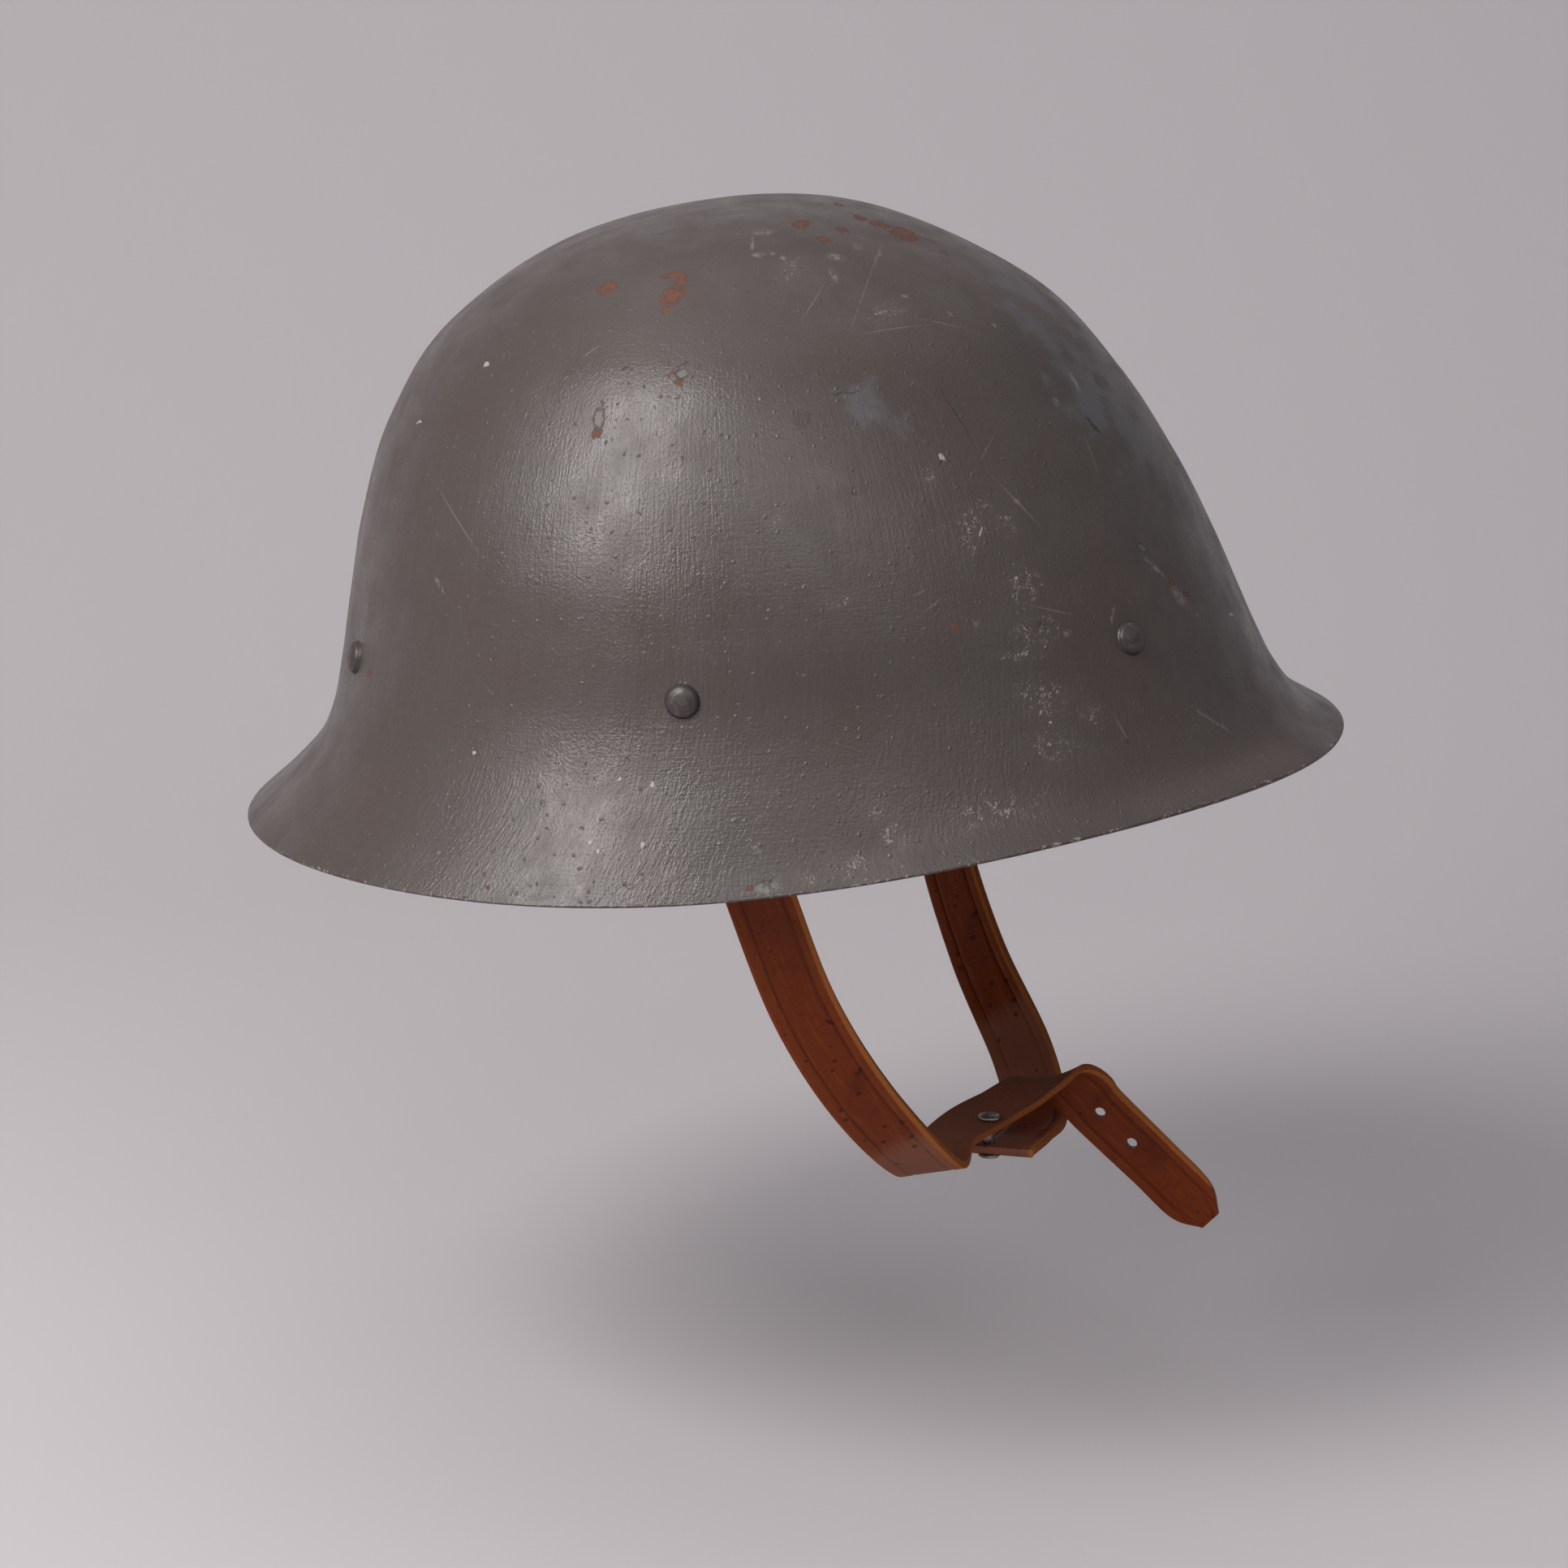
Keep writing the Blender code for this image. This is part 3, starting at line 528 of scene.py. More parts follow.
# Dots that lie anywhere: their cells' size in metres, the colour channel that picks a cell and the share
# picked, and the distances, in cells, at which a dot is full and gone
DOTS = {"pits": (7 * MM, "Green", 0.22, 0.05, 0.09), "nodules": (2.8 * MM, "Blue", 0.5, 0.04, 0.24)}
PAINT_STEPS = (
    ("stroke_depth", "MULTIPLY", "fine", "down_wall"),
    ("level_here", "EASE", "patches", 0.42, 0.60),
    ("level_part", "MULTIPLY", "level", "level_here"),
    ("level_depth", "MULTIPLY", "level_part", "down_wall"),
    # Specks are thin wandering threads and ragged flecks, thick in a cluster and rare elsewhere.
    ("here", "RAMP", "wobble", 0.36, 0.58),
    ("clumps", "MULTIPLY", "specks", "here"),
    ("fleck_height", "MULTIPLY_ADD", "clumps", 0.31, "grit"),
    ("flecks", "EASE", "fleck_height", 0.79, 0.86),
    ("crowd", "MULTIPLY_ADD", "clumps", 0.31, "crumble"),
    ("broken", "EASE", "crowd", 0.69, 0.80, 0.0, 0.6),
    ("folded", "PINGPONG", "filament", 0.07),
    ("thin", "EASE", "folded", 0.026, 0.006),
    ("threads", "MULTIPLY", "thin", "broken"),
    ("dust", "MULTIPLY", "specks", "crumble"),
    ("specks", "MAXIMUM", "flecks", "threads"),
    ("worn_through", "RAMP", "crumble", 0.40, 0.56),
    ("scuff", "MULTIPLY", "scuff", "worn_through"),
    ("streaky", "RAMP", "fine", 0.35, 0.60),
    ("brown", "MULTIPLY", "brown", "streaky"),
    # The rim's edge is dark with wear and rust, and chipped bright in places.
    ("worn", "RAMP", "mottle", 0.35, 0.65, 0.02, -0.06),
    ("at_rim", "ADD", "rows.Z", "worn"),
    ("rim", "EASE", "at_rim", 9.945, 9.985),
    ("chipped", "EASE", "crumble", 0.56, 0.62),
    ("at_edge", "EASE", "at_rim", 9.90, 9.95),
    ("rim bits", "MULTIPLY", "chipped", "at_edge"),
    ("rust_depth", "MULTIPLY_ADD", "ragged", 1.6, "rust distance"),
    ("rust_middle", "EASE", "rust_depth", 0.25, 0.75, 1.0, 0.0),
    ("rust core", "MULTIPLY", "rust_middle", "rust"),
    ("bare core", "EASE", "bare distance", 0.45, 0.75, 1.0, 0.0),
    ("metal", "MULTIPLY", "bare core", 0.3),
    # The sound paint: its colour in patches, mottles and strokes, its roughness and its rise in millimetres.
    ("tone", "RAMP", "patches", 0.3, 0.7),
    ("surface", "BLEND", "tone", "#4c423f", "#4c4744"),
    ("tone", "RAMP", "mottle", 0.35, 0.75, 0.0, 0.6),
    ("surface", "BLEND", "tone", "surface", "#423a37"),
    ("tone", "RAMP", "stroke_depth", 0.5, 0.75, 0.0, 0.25),
    ("surface", "BLEND", "tone", "surface", "#5b5350"),
    ("gloss", "MULTIPLY", "broad", "down_wall"),
    ("gloss", "MULTIPLY_ADD", "gloss", 0.14, 0.10),
    ("gloss", "MULTIPLY_ADD", "mottle", 0.50, "gloss"),
    ("gloss", "MULTIPLY_ADD", "stroke_depth", -0.14, "gloss"),
    ("rise", "MULTIPLY", "peel", 0.04),
    ("rise", "MULTIPLY_ADD", "grit", 0.14, "rise"),
    ("rise", "MULTIPLY_ADD", "stroke_depth", 0.13, "rise"),
    ("rise", "MULTIPLY_ADD", "level_depth", 0.07, "rise"),
)
# What each mark does, the lowest first: how much of it shows, its colour, roughness and rise in millimetres
PAINT_LAYERS = (
    ("haze", 0.42, "#5e6067", 0.52, 0.0),
    ("dust", 0.09, "#8a8480", 0.50, 0.0),
    ("scuff", 0.50, "#8f8883", 0.38, 0.01),
    ("scratches", 0.35, "#867f7a", 0.42, -0.01),
    ("creases", 0.75, "#2a2422", 0.60, -0.06),
    ("brown", 0.60, "#3b2a23", 0.60, -0.03),
    ("pits", 0.60, "#38302c", 0.60, -0.04),
    ("nodules", 0.12, "#6e6662", 0.42, 0.17),
    ("specks", 0.55, "#a39b97", 0.50, 0.015),
    ("chips", 0.75, "#a9a39f", 0.50, 0.03),
    ("rust", 0.85, "#503529", 0.75, -0.03),
    ("rust core", 0.60, "#70412e", 0.85, 0.05),
    ("bare", 0.90, "#332a26", 0.55, -0.06),
    ("bare core", 0.65, "#777371", 0.60, -0.03),
    ("rim", 0.75, "#3a2e29", 0.50, 0.0),
    ("rim bits", 0.60, "#938a85", 0.45, -0.03),
)
paint, tree, shader, value = new_material("brush-painted semi-matt enamel", round_crown="Vector")
follow(tree, value, BASE_STEPS)
for name, (round_wall, down_it) in BRUSH_MARKS.items():
    value["strokes"] = add(tree, "ShaderNodeMapping", {}, {"Vector": value["leaning"], "Scale": (
        ROUND_SIZE / round_wall, ROUND_SIZE / round_wall, SECTION_SIZE / down_it)})
    follow(tree, value, ((name, "NOISE", "strokes", 1.0, 2.0, 0.65),))
for kind, (breakup, full, gone) in MARK_EDGES.items():
    value["carried"] = add(tree, "ShaderNodeAttribute", {"attribute_name": kind + " marks"})
    distance = kind + " distance"
    value[distance] = value["carried"].outputs["Fac"]
    if kind not in SPREAD_KINDS:
        follow(tree, value, (
            ("parts", "SPLIT_COLOUR", "carried.Color"),
            ("local", "JOIN", "parts.Red", "parts.Green"),
            ("millimetre", "JOIN", "parts.Blue", "carried.Alpha")))
        if kind != "scratches":
            follow(tree, value, (("local", "VECTOR_MULTIPLY_ADD", "millimetre", "shift", "local"),))
        follow(tree, value, ((distance, "VECTOR_LENGTH", "local"),))
    if breakup:
        follow(tree, value, ((distance, "ADD", distance, breakup),))
    follow(tree, value, ((kind, "EASE", distance, full, gone, 1.0, 0.0),))
for kind, (cell, channel, share, full, gone) in DOTS.items():
    follow(tree, value, (
        ("cells", "CELLS", "shifted", 1 / cell),
        ("draw", "SPLIT_COLOUR", "cells.Color"),
        ("chosen", "LESS_THAN", "draw." + channel, share),
        ("dot", "EASE", "cells.Distance", full, gone, 1.0, 0.0),
        (kind, "MULTIPLY", "chosen", "dot")))
follow(tree, value, PAINT_STEPS)
lay_finishes(tree, value, PAINT_LAYERS)
dress(tree, shader, value)
feed(tree, shader, {"Metallic": value["metal"]})

# The same enamel in one thin coat inside, never touched up: duller and blotchy, with rust freckles that
# gather where the coat is thinnest.
INSIDE_STEPS = (
    ("blotches", "NOISE", "place", 1 / (26 * MM), 4.0, 0.6),
    ("freckles", "NOISE", "place", 1 / (3.6 * MM), 4.0, 0.7),
    ("rise", "NOISE", "place", 1 / (1.3 * MM), 2.0, 0.65),
    ("tone", "RAMP", "blotches", 0.35, 0.65),
    ("surface", "BLEND", "tone", "#3d3735", "#4b4441"),
    ("thin", "MULTIPLY_ADD", "blotches", 0.6, "freckles"),
    ("rusting", "EASE", "thin", 0.90, 0.98, 0.0, 0.8),
    ("surface", "BLEND", "rusting", "surface", "#5a3b2c"),
    ("gloss", "RAMP", "rusting", 0.0, 1.0, 0.52, 0.85),
)
INSIDE_GRIT = 0.12 * MM
inside_paint, tree, shader, value = new_material("thin inner enamel")
follow(tree, value, INSIDE_STEPS)
dress(tree, shader, value, INSIDE_GRIT)
shell.data.materials.clear()
shell.data.materials.append(paint)
shell.data.materials.append(inside_paint)
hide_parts("shell")
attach(shell, "root")

# Rivets
# Six steel rivets pass through the wall: a low domed head outside, with a slightly raised flat top, and a
# flat head inside. They were set cold, then painted over with the shell, so paint fills each head's corner.
RIVET_HEAD = 8.8 * MM
RIVET_DOME = 2.1 * MM
DOME_SQUARENESS = 0.82
DOME_STEPS = 18
TOP_SHARE = 0.70
TOP_EDGE = 0.08
TOP_RISE = 0.18 * MM
PAINT_FILLET = 0.35 * MM
FILLET_TOP = 0.02 * MM
FILLET_FOOT = -0.15 * MM
RIVET_SHANK = 4.0 * MM
RIVET_INNER_HEAD = 8.0 * MM
RIVET_INNER_THICK = 1.0 * MM
# The inner head's edge, from the wall inward: shares of its radius, and how far below its seat
INNER_EDGE = (
    (0.97, 0.0), (1.0, 0.15 * MM), (1.0, 0.6 * MM), (0.92, RIVET_INNER_THICK), (0.0, RIVET_INNER_THICK))
WALL_GAP = 0.8 * MM
STRAP_THICK = 2.2 * MM
GAP = 0.3 * MM
FACES_ROUND = 48
CLOSE_WITHIN = 0.001 * MM
RIVETS = ("front_right", "front_left", "side_right", "side_left", "rear_right", "rear_left")


def finish_tree(tree, value, geometry):
    """Ends a tree with a smooth piece of the material that it is given."""
    smooth = add(tree, "GeometryNodeSetShadeSmooth", {}, {"Geometry": geometry})
    finished = add(tree, "GeometryNodeSetMaterial", {}, {"Geometry": smooth, "Material": value["Material"]})
    add(tree, "NodeGroupOutput", {}, {"Geometry": finished})


def turned_tree():
    """Turns a line of radii and heights into a closed round piece."""
    tree, value = new_tree("turned piece", {"Faces Around": "Int", "Material": "Material"})
    profile = add(tree, "GeometryNodeMeshToCurve", {}, {"Mesh": value["Geometry"]})
    place = add(tree, "ShaderNodeSeparateXYZ", {}, {"Vector": add(tree, "GeometryNodeInputPosition")})
    for name, axis in (("from_axis", "X"), ("height", "Z")):
        profile = add(tree, "GeometryNodeStoreNamedAttribute", {},
                      {"Geometry": profile, "Name": name, "Value": place.outputs[axis]})
    swept = ring_along(tree, value, profile)
    for name in ("from_axis", "height", "turn"):
        value[name] = add(tree, "GeometryNodeInputNamedAttribute", {}, {"Name": name})
    follow(tree, value, (
        ("unturned", "JOIN", "from_axis", 0.0, "height"),
        ("placed", "TURN_Z", "unturned", "turn")))
    shaped = add(tree, "GeometryNodeSetPosition", {}, {"Geometry": swept, "Position": value["placed"]})
    closed = add(tree, "GeometryNodeMergeByDistance", {}, {"Geometry": shaped, "Distance": CLOSE_WITHIN})
    finish_tree(tree, value, closed)
    return tree


def rivet_profile(held):
    """Radius and height from the dome's top down through the wall to the flat head inside."""
    head, shank, inner = RIVET_HEAD / 2, RIVET_SHANK / 2, RIVET_INNER_HEAD / 2
    rows = []
    for step in range(DOME_STEPS + 1):
        angle = math.pi / 2 * step / DOME_STEPS
        share = math.sin(angle) ** DOME_SQUARENESS
        set_top = TOP_RISE * min(1.0, max(0.0, (TOP_SHARE - share) / TOP_EDGE))
        dome = (RIVET_DOME - TOP_RISE) * abs(math.cos(angle)) ** DOME_SQUARENESS
        rows.append((head * share, GAP + dome + set_top))
    rows[-1] = (head, GAP + PAINT_FILLET)
    rows += [(head, GAP), (head + PAINT_FILLET, FILLET_TOP), (head + PAINT_FILLET, FILLET_FOOT)]
    rows += [(shank, FILLET_FOOT), (shank, -held)]
    return rows + [(inner * share, -held - below) for share, below in INNER_EDGE]


# The same enamel over a steel head. It is thick and dark round the foot, and rubbed thin on the dome's top
# and shoulder, where dull steel shows through in patches.
RIVET_STEPS = (
    ("patches", "NOISE", "place", 1 / (2.2 * MM), 3.0),
    ("rise", "NOISE", "place", 1 / (0.7 * MM), 2.0),
    ("on_top", "EASE", "from_axis", 2.2 * MM, 3.9 * MM, 0.08, -0.06),
    ("high", "ADD", "patches", "on_top"),
    ("rubbed", "EASE", "high", 0.50, 0.64, 0.0, 0.65),
    ("foot", "EASE", "from_axis", 4.2 * MM, 4.8 * MM, 0.0, 0.8),
    ("surface", "BLEND", "rubbed", "#383130", "#5c544f"),
    ("surface", "BLEND", "foot", "surface", "#35302d"),
    ("gloss", "RAMP", "rubbed", 0.0, 1.0, 0.40, 0.33),
    ("metal", "MULTIPLY", "rubbed", 0.4),
)
RIVET_GRIT = 0.05 * MM
rivet_steel, tree, shader, value = new_material("rubbed enamel on rivet steel", from_axis="Fac")
follow(tree, value, RIVET_STEPS)
dress(tree, shader, value, RIVET_GRIT)
feed(tree, shader, {"Metallic": value["metal"]})
turned = turned_tree()
rivet_places = {}
for where in RIVETS:
    low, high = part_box("rivet_" + where)
    point, normal, _, _ = shell_surface.find_nearest((Vector(low) + Vector(high)) / 2)
    side = Vector((0, 0, 1)).cross(normal).normalized()
    placed = Matrix.Translation(point) @ Matrix((side, normal.cross(side), normal)).transposed().to_4x4()
    rivet_places[where] = placed
    held = STEEL + (WALL_GAP + STRAP_THICK + GAP if where.startswith("side") else GAP)
    profile = line_of("profile", [(radius, 0.0, height) for radius, height in rivet_profile(held)], {})
    rivet = made_by(turned, "painted_rivet_" + where, profile, {
        "Faces Around": FACES_ROUND, "Material": rivet_steel})
    rivet.data.transform(placed)
    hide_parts("rivet_" + where)
    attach(rivet, "root")

# Chin strap
# Two strips of vegetable-tanned leather hang from the side rivets and cross under the chin. Both were cut
# with a strap knife, creased along their edges with a hot iron and punched, and have darkened with wear.
STRAP_WIDTH = 18.4 * MM
STRAP_DROP = 146 * MM
STRAP_ABOVE_RIVET = 9 * MM
STRAP_BELOW_RIVET = 5.4 * MM
STEPS_PER_ROW = 24
EDGE_ROUNDING = 0.55 * MM
CREASE_FROM_EDGE = 3.9 * MM
CREASE_WIDTH = 0.9 * MM
CREASE_DEPTH = 0.28 * MM
CREASE_SHARES = (-1.6, -0.8, -0.4, 0.0, 0.4, 0.8, 1.6)
CREASE_SLOPE = 0.8
FIRST_IN = 1.4 * MM
MIDWAY = 2.2 * MM
FLESH_CORNER = (0.25 * MM, 0.3 * MM)
SAME_STRETCH = 0.75
SHARP_LEATHER = math.radians(38)
ROW_MARGIN = 0.001
CUT_LENGTH = 4 * STRAP_THICK
HOLE = 3.3 * MM
HOLE_FACES = 28
STUD_POST = 3.0 * MM
STUD_HEAD = 6.4 * MM
STUD_HEAD_THICK = 1.2 * MM
STUD_SLACK = 0.45 * MM

# Routes from the side rivet down: out, a share of the rivet's distance from the middle; forward and down,
# shares of STRAP_DROP; the front edge's direction, out, forward and up; and the width's share
ROUTES = {
    "right": {
        "inside":     (0.978, 0.055, 0.134, -0.10, 0.95, 0.25, 1.00),
        "at_rim":     (0.907, 0.123, 0.387, -0.31, 0.85, 0.41, 1.00),
        "cheek":      (0.777, 0.182, 0.627, -0.30, 0.87, 0.38, 1.00),
        "jaw":        (0.634, 0.267, 0.832, -0.25, 0.90, 0.33, 1.00),
        "turn":       (0.420, 0.356, 1.007, -0.10, 0.97, 0.20, 1.00),
        "under_jaw":  (0.223, 0.353, 1.010, 0.00, 0.98, 0.15, 1.00),
        "at_stud":    (0.036, 0.380, 1.010, 0.20, 0.98, 0.00, 1.00),
        "past_stud":  (-0.071, 0.425, 0.997, 0.35, 0.93, 0.05, 1.00),
        "far_side":   (-0.152, 0.480, 0.973, 0.40, 0.90, 0.15, 1.00),
        "droop":      (-0.219, 0.521, 0.976, 0.25, 0.80, 0.50, 1.00),
        "hangs":      (-0.259, 0.555, 1.010, 0.05, 0.70, 0.70, 1.00),
        "end_root":   (-0.272, 0.589, 1.051, 0.05, 0.68, 0.73, 0.97),
        "end_middle": (-0.272, 0.695, 1.147, 0.05, 0.68, 0.73, 0.93),
        "point_root": (-0.272, 0.774, 1.221, 0.05, 0.68, 0.73, 0.88),
        "point":      (-0.272, 0.815, 1.260, 0.05, 0.68, 0.73, 0.36),
    },
    "left": {
        "inside":     (0.978, 0.048, 0.134, -0.10, 0.95, 0.25, 1.00),
        "at_rim":     (0.907, 0.117, 0.387, -0.31, 0.85, 0.41, 1.00),
        "cheek":      (0.777, 0.182, 0.627, -0.30, 0.87, 0.38, 1.00),
        "jaw":        (0.652, 0.277, 0.832, -0.25, 0.90, 0.30, 1.00),
        "turn":       (0.500, 0.394, 0.997, -0.10, 0.98, 0.10, 1.00),
        "under_jaw":  (0.339, 0.449, 1.082, 0.00, 1.00, 0.00, 1.00),
        "below":      (0.134, 0.449, 1.075, 0.00, 1.00, 0.00, 1.00),
        "at_stud":    (-0.036, 0.445, 1.058, 0.00, 1.00, 0.00, 1.00),
        "end":        (-0.076, 0.445, 1.057, 0.00, 1.00, 0.00, 0.96),
    },
}
# Punched holes: how far back from the strap's end, and how far toward its front edge
HOLES = {
    "right": {"upper": (45 * MM, 0.0), "lower": (32 * MM, 0.0)},
    "left": {"middle": (28 * MM, -0.5 * MM), "front": (26 * MM, 6.0 * MM)},
}


def strap_rows(hand):
    """The strap's rows: middle, front edge and width share, with one more before and one past the end."""
    placed = rivet_places["side_" + hand]
    normal = placed.to_3x3() @ Vector((0, 0, 1))
    held = placed.translation - normal * (STEEL + WALL_GAP + STRAP_THICK / 2)
    outward = math.copysign(1, held.x)
    below = []
    for out, forward, down, edge_out, edge_forward, edge_up, width in ROUTES[hand].values():
        below.append((out * held.x, held.y - forward * STRAP_DROP, held.z - down * STRAP_DROP,
                      outward * edge_out, -edge_forward, edge_up, width))
    down = Vector(below[0][:3]) - held
    down = (down - normal * down.dot(normal)).normalized()
    edge = down.cross(normal).normalized()
    if edge.y > 0:
        edge = -edge
    rows = [(*(held + down * along), *edge, 1.0) for along in (-STRAP_ABOVE_RIVET, 0.0, STRAP_BELOW_RIVET)]
    rows += below
    before = tuple(2 * first - second for first, second in zip(rows[0], rows[1]))
    past = tuple(2 * last - previous for previous, last in zip(rows[-2], rows[-1]))
    return [before] + rows + [past]


def strap_section():
    """The strap's cut across: a grain side creased near each edge, rounded corners and a flat flesh side."""
    half, thick = STRAP_WIDTH / 2, STRAP_THICK / 2
    creases = (-half + CREASE_FROM_EDGE, half - CREASE_FROM_EDGE)
    across = [-half + EDGE_ROUNDING, half - EDGE_ROUNDING, 0.0]
    across += [centre + CREASE_WIDTH * share for centre in creases for share in CREASE_SHARES]
    across += [side * place for place in (half - FIRST_IN, MIDWAY) for side in (-1, 1)]
    points = []
    for place in sorted(across):
        nearest = min(abs(place - centre) for centre in creases)
        depth = CREASE_DEPTH * max(0.0, 1 - nearest / (CREASE_SLOPE * CREASE_WIDTH))
        points.append((place, thick - depth))
    corner = []
    for turn in (30, 60):
        lean = math.radians(turn)
        corner.append((half - EDGE_ROUNDING * (1 - math.sin(lean)),
                       thick - EDGE_ROUNDING * (1 - math.cos(lean))))
    corner += [(half, thick - EDGE_ROUNDING), (half, 0.0)]
    corner += [(half, -thick + FLESH_CORNER[1]), (half - FLESH_CORNER[0], -thick)]
    flesh = [(half * share / 4, -thick) for share in (3, 2, 1, 0, -1, -2, -3)]
    return points + corner + flesh + [(-place, through) for place, through in reversed(corner)]


# How the strap's cut across lies on its route: the front edge is squared to the route, and then each point
# goes across toward it and through toward the grain side.
STRAP_FORMULA = (
    ("slant", "VECTOR_DOT_PRODUCT", "front_edge", "along"),
    ("slanting", "SCALE", "along", "slant"),
    ("square", "VECTOR_SUBTRACT", "front_edge", "slanting"),
    ("to_front", "VECTOR_NORMALIZE", "square"),
    ("to_grain", "VECTOR_CROSS_PRODUCT", "along", "to_front"),
    ("before", "LESS_THAN", "row", -ROW_MARGIN),
    ("past", "GREATER_THAN", "row", "Last Row"),
    ("beyond", "MAXIMUM", "before", "past"),
    ("reach", "MULTIPLY", "across", "width"),
    ("sideways", "SCALE", "edge", "reach"),
    ("outward", "SCALE", "face", "through"),
    ("on_cut", "VECTOR_ADD", "middle", "sideways"),
    ("placed", "VECTOR_ADD", "on_cut", "outward"),
)


def strap_tree():
    """Sweeps a cut across along the strap's rows, its width toward the front edge."""
    tree, value = new_tree("leather strap", {
        "Section": "Object", "Steps per Row": "Int", "Last Row": "Float", "Material": "Material"})
    route = curve_through(tree, value, "Steps per Row")
    route = add(tree, "GeometryNodeResampleCurve", {"mode": "EVALUATED"}, {"Curve": route})
    for kind, names in (("FLOAT", ("row", "width", "across", "through")),
                        ("FLOAT_VECTOR", ("front_edge", "middle", "edge", "face"))):
        for name in names:
            value[name] = add(tree, "GeometryNodeInputNamedAttribute", {"data_type": kind}, {"Name": name})
    value["along"] = add(tree, "GeometryNodeInputTangent")
    value["place"] = add(tree, "GeometryNodeInputPosition")
    follow(tree, value, STRAP_FORMULA)
    for name, source in (("face", "to_grain"), ("edge", "to_front"), ("middle", "place")):
        route = add(tree, "GeometryNodeStoreNamedAttribute", {"data_type": "FLOAT_VECTOR"},
                    {"Geometry": route, "Name": name, "Value": value[source]})
    route = add(tree, "GeometryNodeDeleteGeometry", {"domain": "POINT"},
                {"Geometry": route, "Selection": value["beyond"]})
    cut = add(tree, "GeometryNodeObjectInfo", {}, {"Object": value["Section"]})
    cut = add(tree, "GeometryNodeMeshToCurve", {}, {"Mesh": cut.outputs["Geometry"]})
    swept = add(tree, "GeometryNodeCurveToMesh", {}, {
        "Curve": route, "Profile Curve": cut, "Fill Caps": True})
    shaped = add(tree, "GeometryNodeSetPosition", {}, {"Geometry": swept, "Position": value["placed"]})
    finish_tree(tree, value, shaped)
    return tree


def strap_stations(mesh):
    """The strap's cuts across in order: their middles, directions and how far each lies along it."""
    row = read_mesh(mesh.attributes["row"].data, "value", 1)[:, 0].round(5)
    _, first = np.unique(row, return_index=True)
    middle, edge, face = (read_mesh(mesh.attributes[name].data, "vector", 3)[first]
                          for name in ("middle", "edge", "face"))
    steps = np.linalg.norm(np.diff(middle, axis=0), axis=1)
    return middle, edge, face, np.concatenate(([0.0], np.cumsum(steps)))


def lay_on_strap(mesh, stations):
    """Stores each point's place on its strap in millimetres: along, to the front edge, to the grain side."""
    middle, edge, face, run = stations
    points = read_mesh(mesh.vertices, "co", 3)
    on_strap = np.empty_like(points)
    for index, point in enumerate(points):
        offset = point - middle
        ahead = np.einsum("si,si->s", offset, np.cross(edge, face))
        too_far = np.einsum("si,si->s", offset, offset) > (SAME_STRETCH * STRAP_WIDTH) ** 2
        station = (np.abs(ahead) + too_far).argmin()
        on_strap[index] = (run[station] + ahead[station], offset[station] @ edge[station],
                           offset[station] @ face[station])
    store(mesh, "on_strap", "FLOAT_VECTOR", on_strap / MM)


def punch(strap, holes):
    """Cuts round holes through a strap, each given by its middle, its direction and its width."""
    cutters = bmesh.new()
    for middle, axis, width in holes:
        turned_to = Vector(axis).to_track_quat("Z", "Y").to_matrix().to_4x4()
        bmesh.ops.create_cone(
            cutters, cap_ends=True, segments=HOLE_FACES, radius1=width / 2, radius2=width / 2,
            depth=CUT_LENGTH, matrix=Matrix.Translation(middle) @ turned_to)
    mesh = bpy.data.meshes.new("punches")
    cutters.to_mesh(mesh)
    cutters.free()
    punches = bpy.data.objects.new("punches", mesh)
    scene.collection.objects.link(punches)
    cut = strap.modifiers.new("punched", "BOOLEAN")
    cut.operation = "DIFFERENCE"
    cut.object = punches
    evaluated = strap.evaluated_get(bpy.context.evaluated_depsgraph_get())
    punched = bpy.data.meshes.new_from_object(evaluated)
    strap.modifiers.remove(cut)
    strap.data = punched
    bpy.data.objects.remove(punches, do_unlink=True)


# Leather tanned with bark: red-brown and darker in the middle, where it was dyed and handled, and lighter
# outside the creases. Its cut edges show orange, fuzzy fibres, and its flesh side is paler suede. Lengths
# are in millimetres. The grain's pebbles are coarser than real ones, so that they show.
HALF_STRAP = STRAP_WIDTH / 2 / MM
HALF_THICK = STRAP_THICK / 2 / MM
CREASE_AT = HALF_STRAP - CREASE_FROM_EDGE / MM
NICK = {"Location": (114.0, 4.6, HALF_THICK), "Rotation": (0.0, 0.0, 0.5), "Scale": (2.2, 0.6, 2.0)}
GRAIN_STEPS = (
    ("parts", "SPLIT", "on_strap"),
    ("from_middle", "ABSOLUTE", "parts.Y"),
    ("crack_place", "STRETCH", "on_strap", (1 / 0.8, 1 / 3.5, 1.0)),
    ("lengthways", "STRETCH", "on_strap", (1 / 14.0, 1 / 1.1, 1.0)),
    ("pebble", "SMOOTH_CELLS", "on_strap", 1 / 0.9, 0.6),
    ("crack", "NOISE", "crack_place", 1.0, 3.0, 0.5, 0.4),
    ("stain", "NOISE", "on_strap", 1 / 16.0, 4.0, 0.6),
    ("rub", "NOISE", "lengthways", 1.0, 4.0, 0.65),
    ("fibre", "NOISE", "on_strap", 1 / 0.7, 3.0, 0.75, 0.5),
    ("speck", "CELLS", "on_strap", 1 / 4.5),
    ("wander", "MULTIPLY_ADD", "rub", 0.9, "from_middle"),
)
# Marks placed along the straps: a pale pinkish painted sheen, light painted into the grain's colour where
# the straps turn under the chin, and a stretch of dark specks
LEATHER_STRETCHES = {"bloom": ((178.0, 20.0), (242.0, 16.0)), "speckled": ((150.0, 34.0),)}
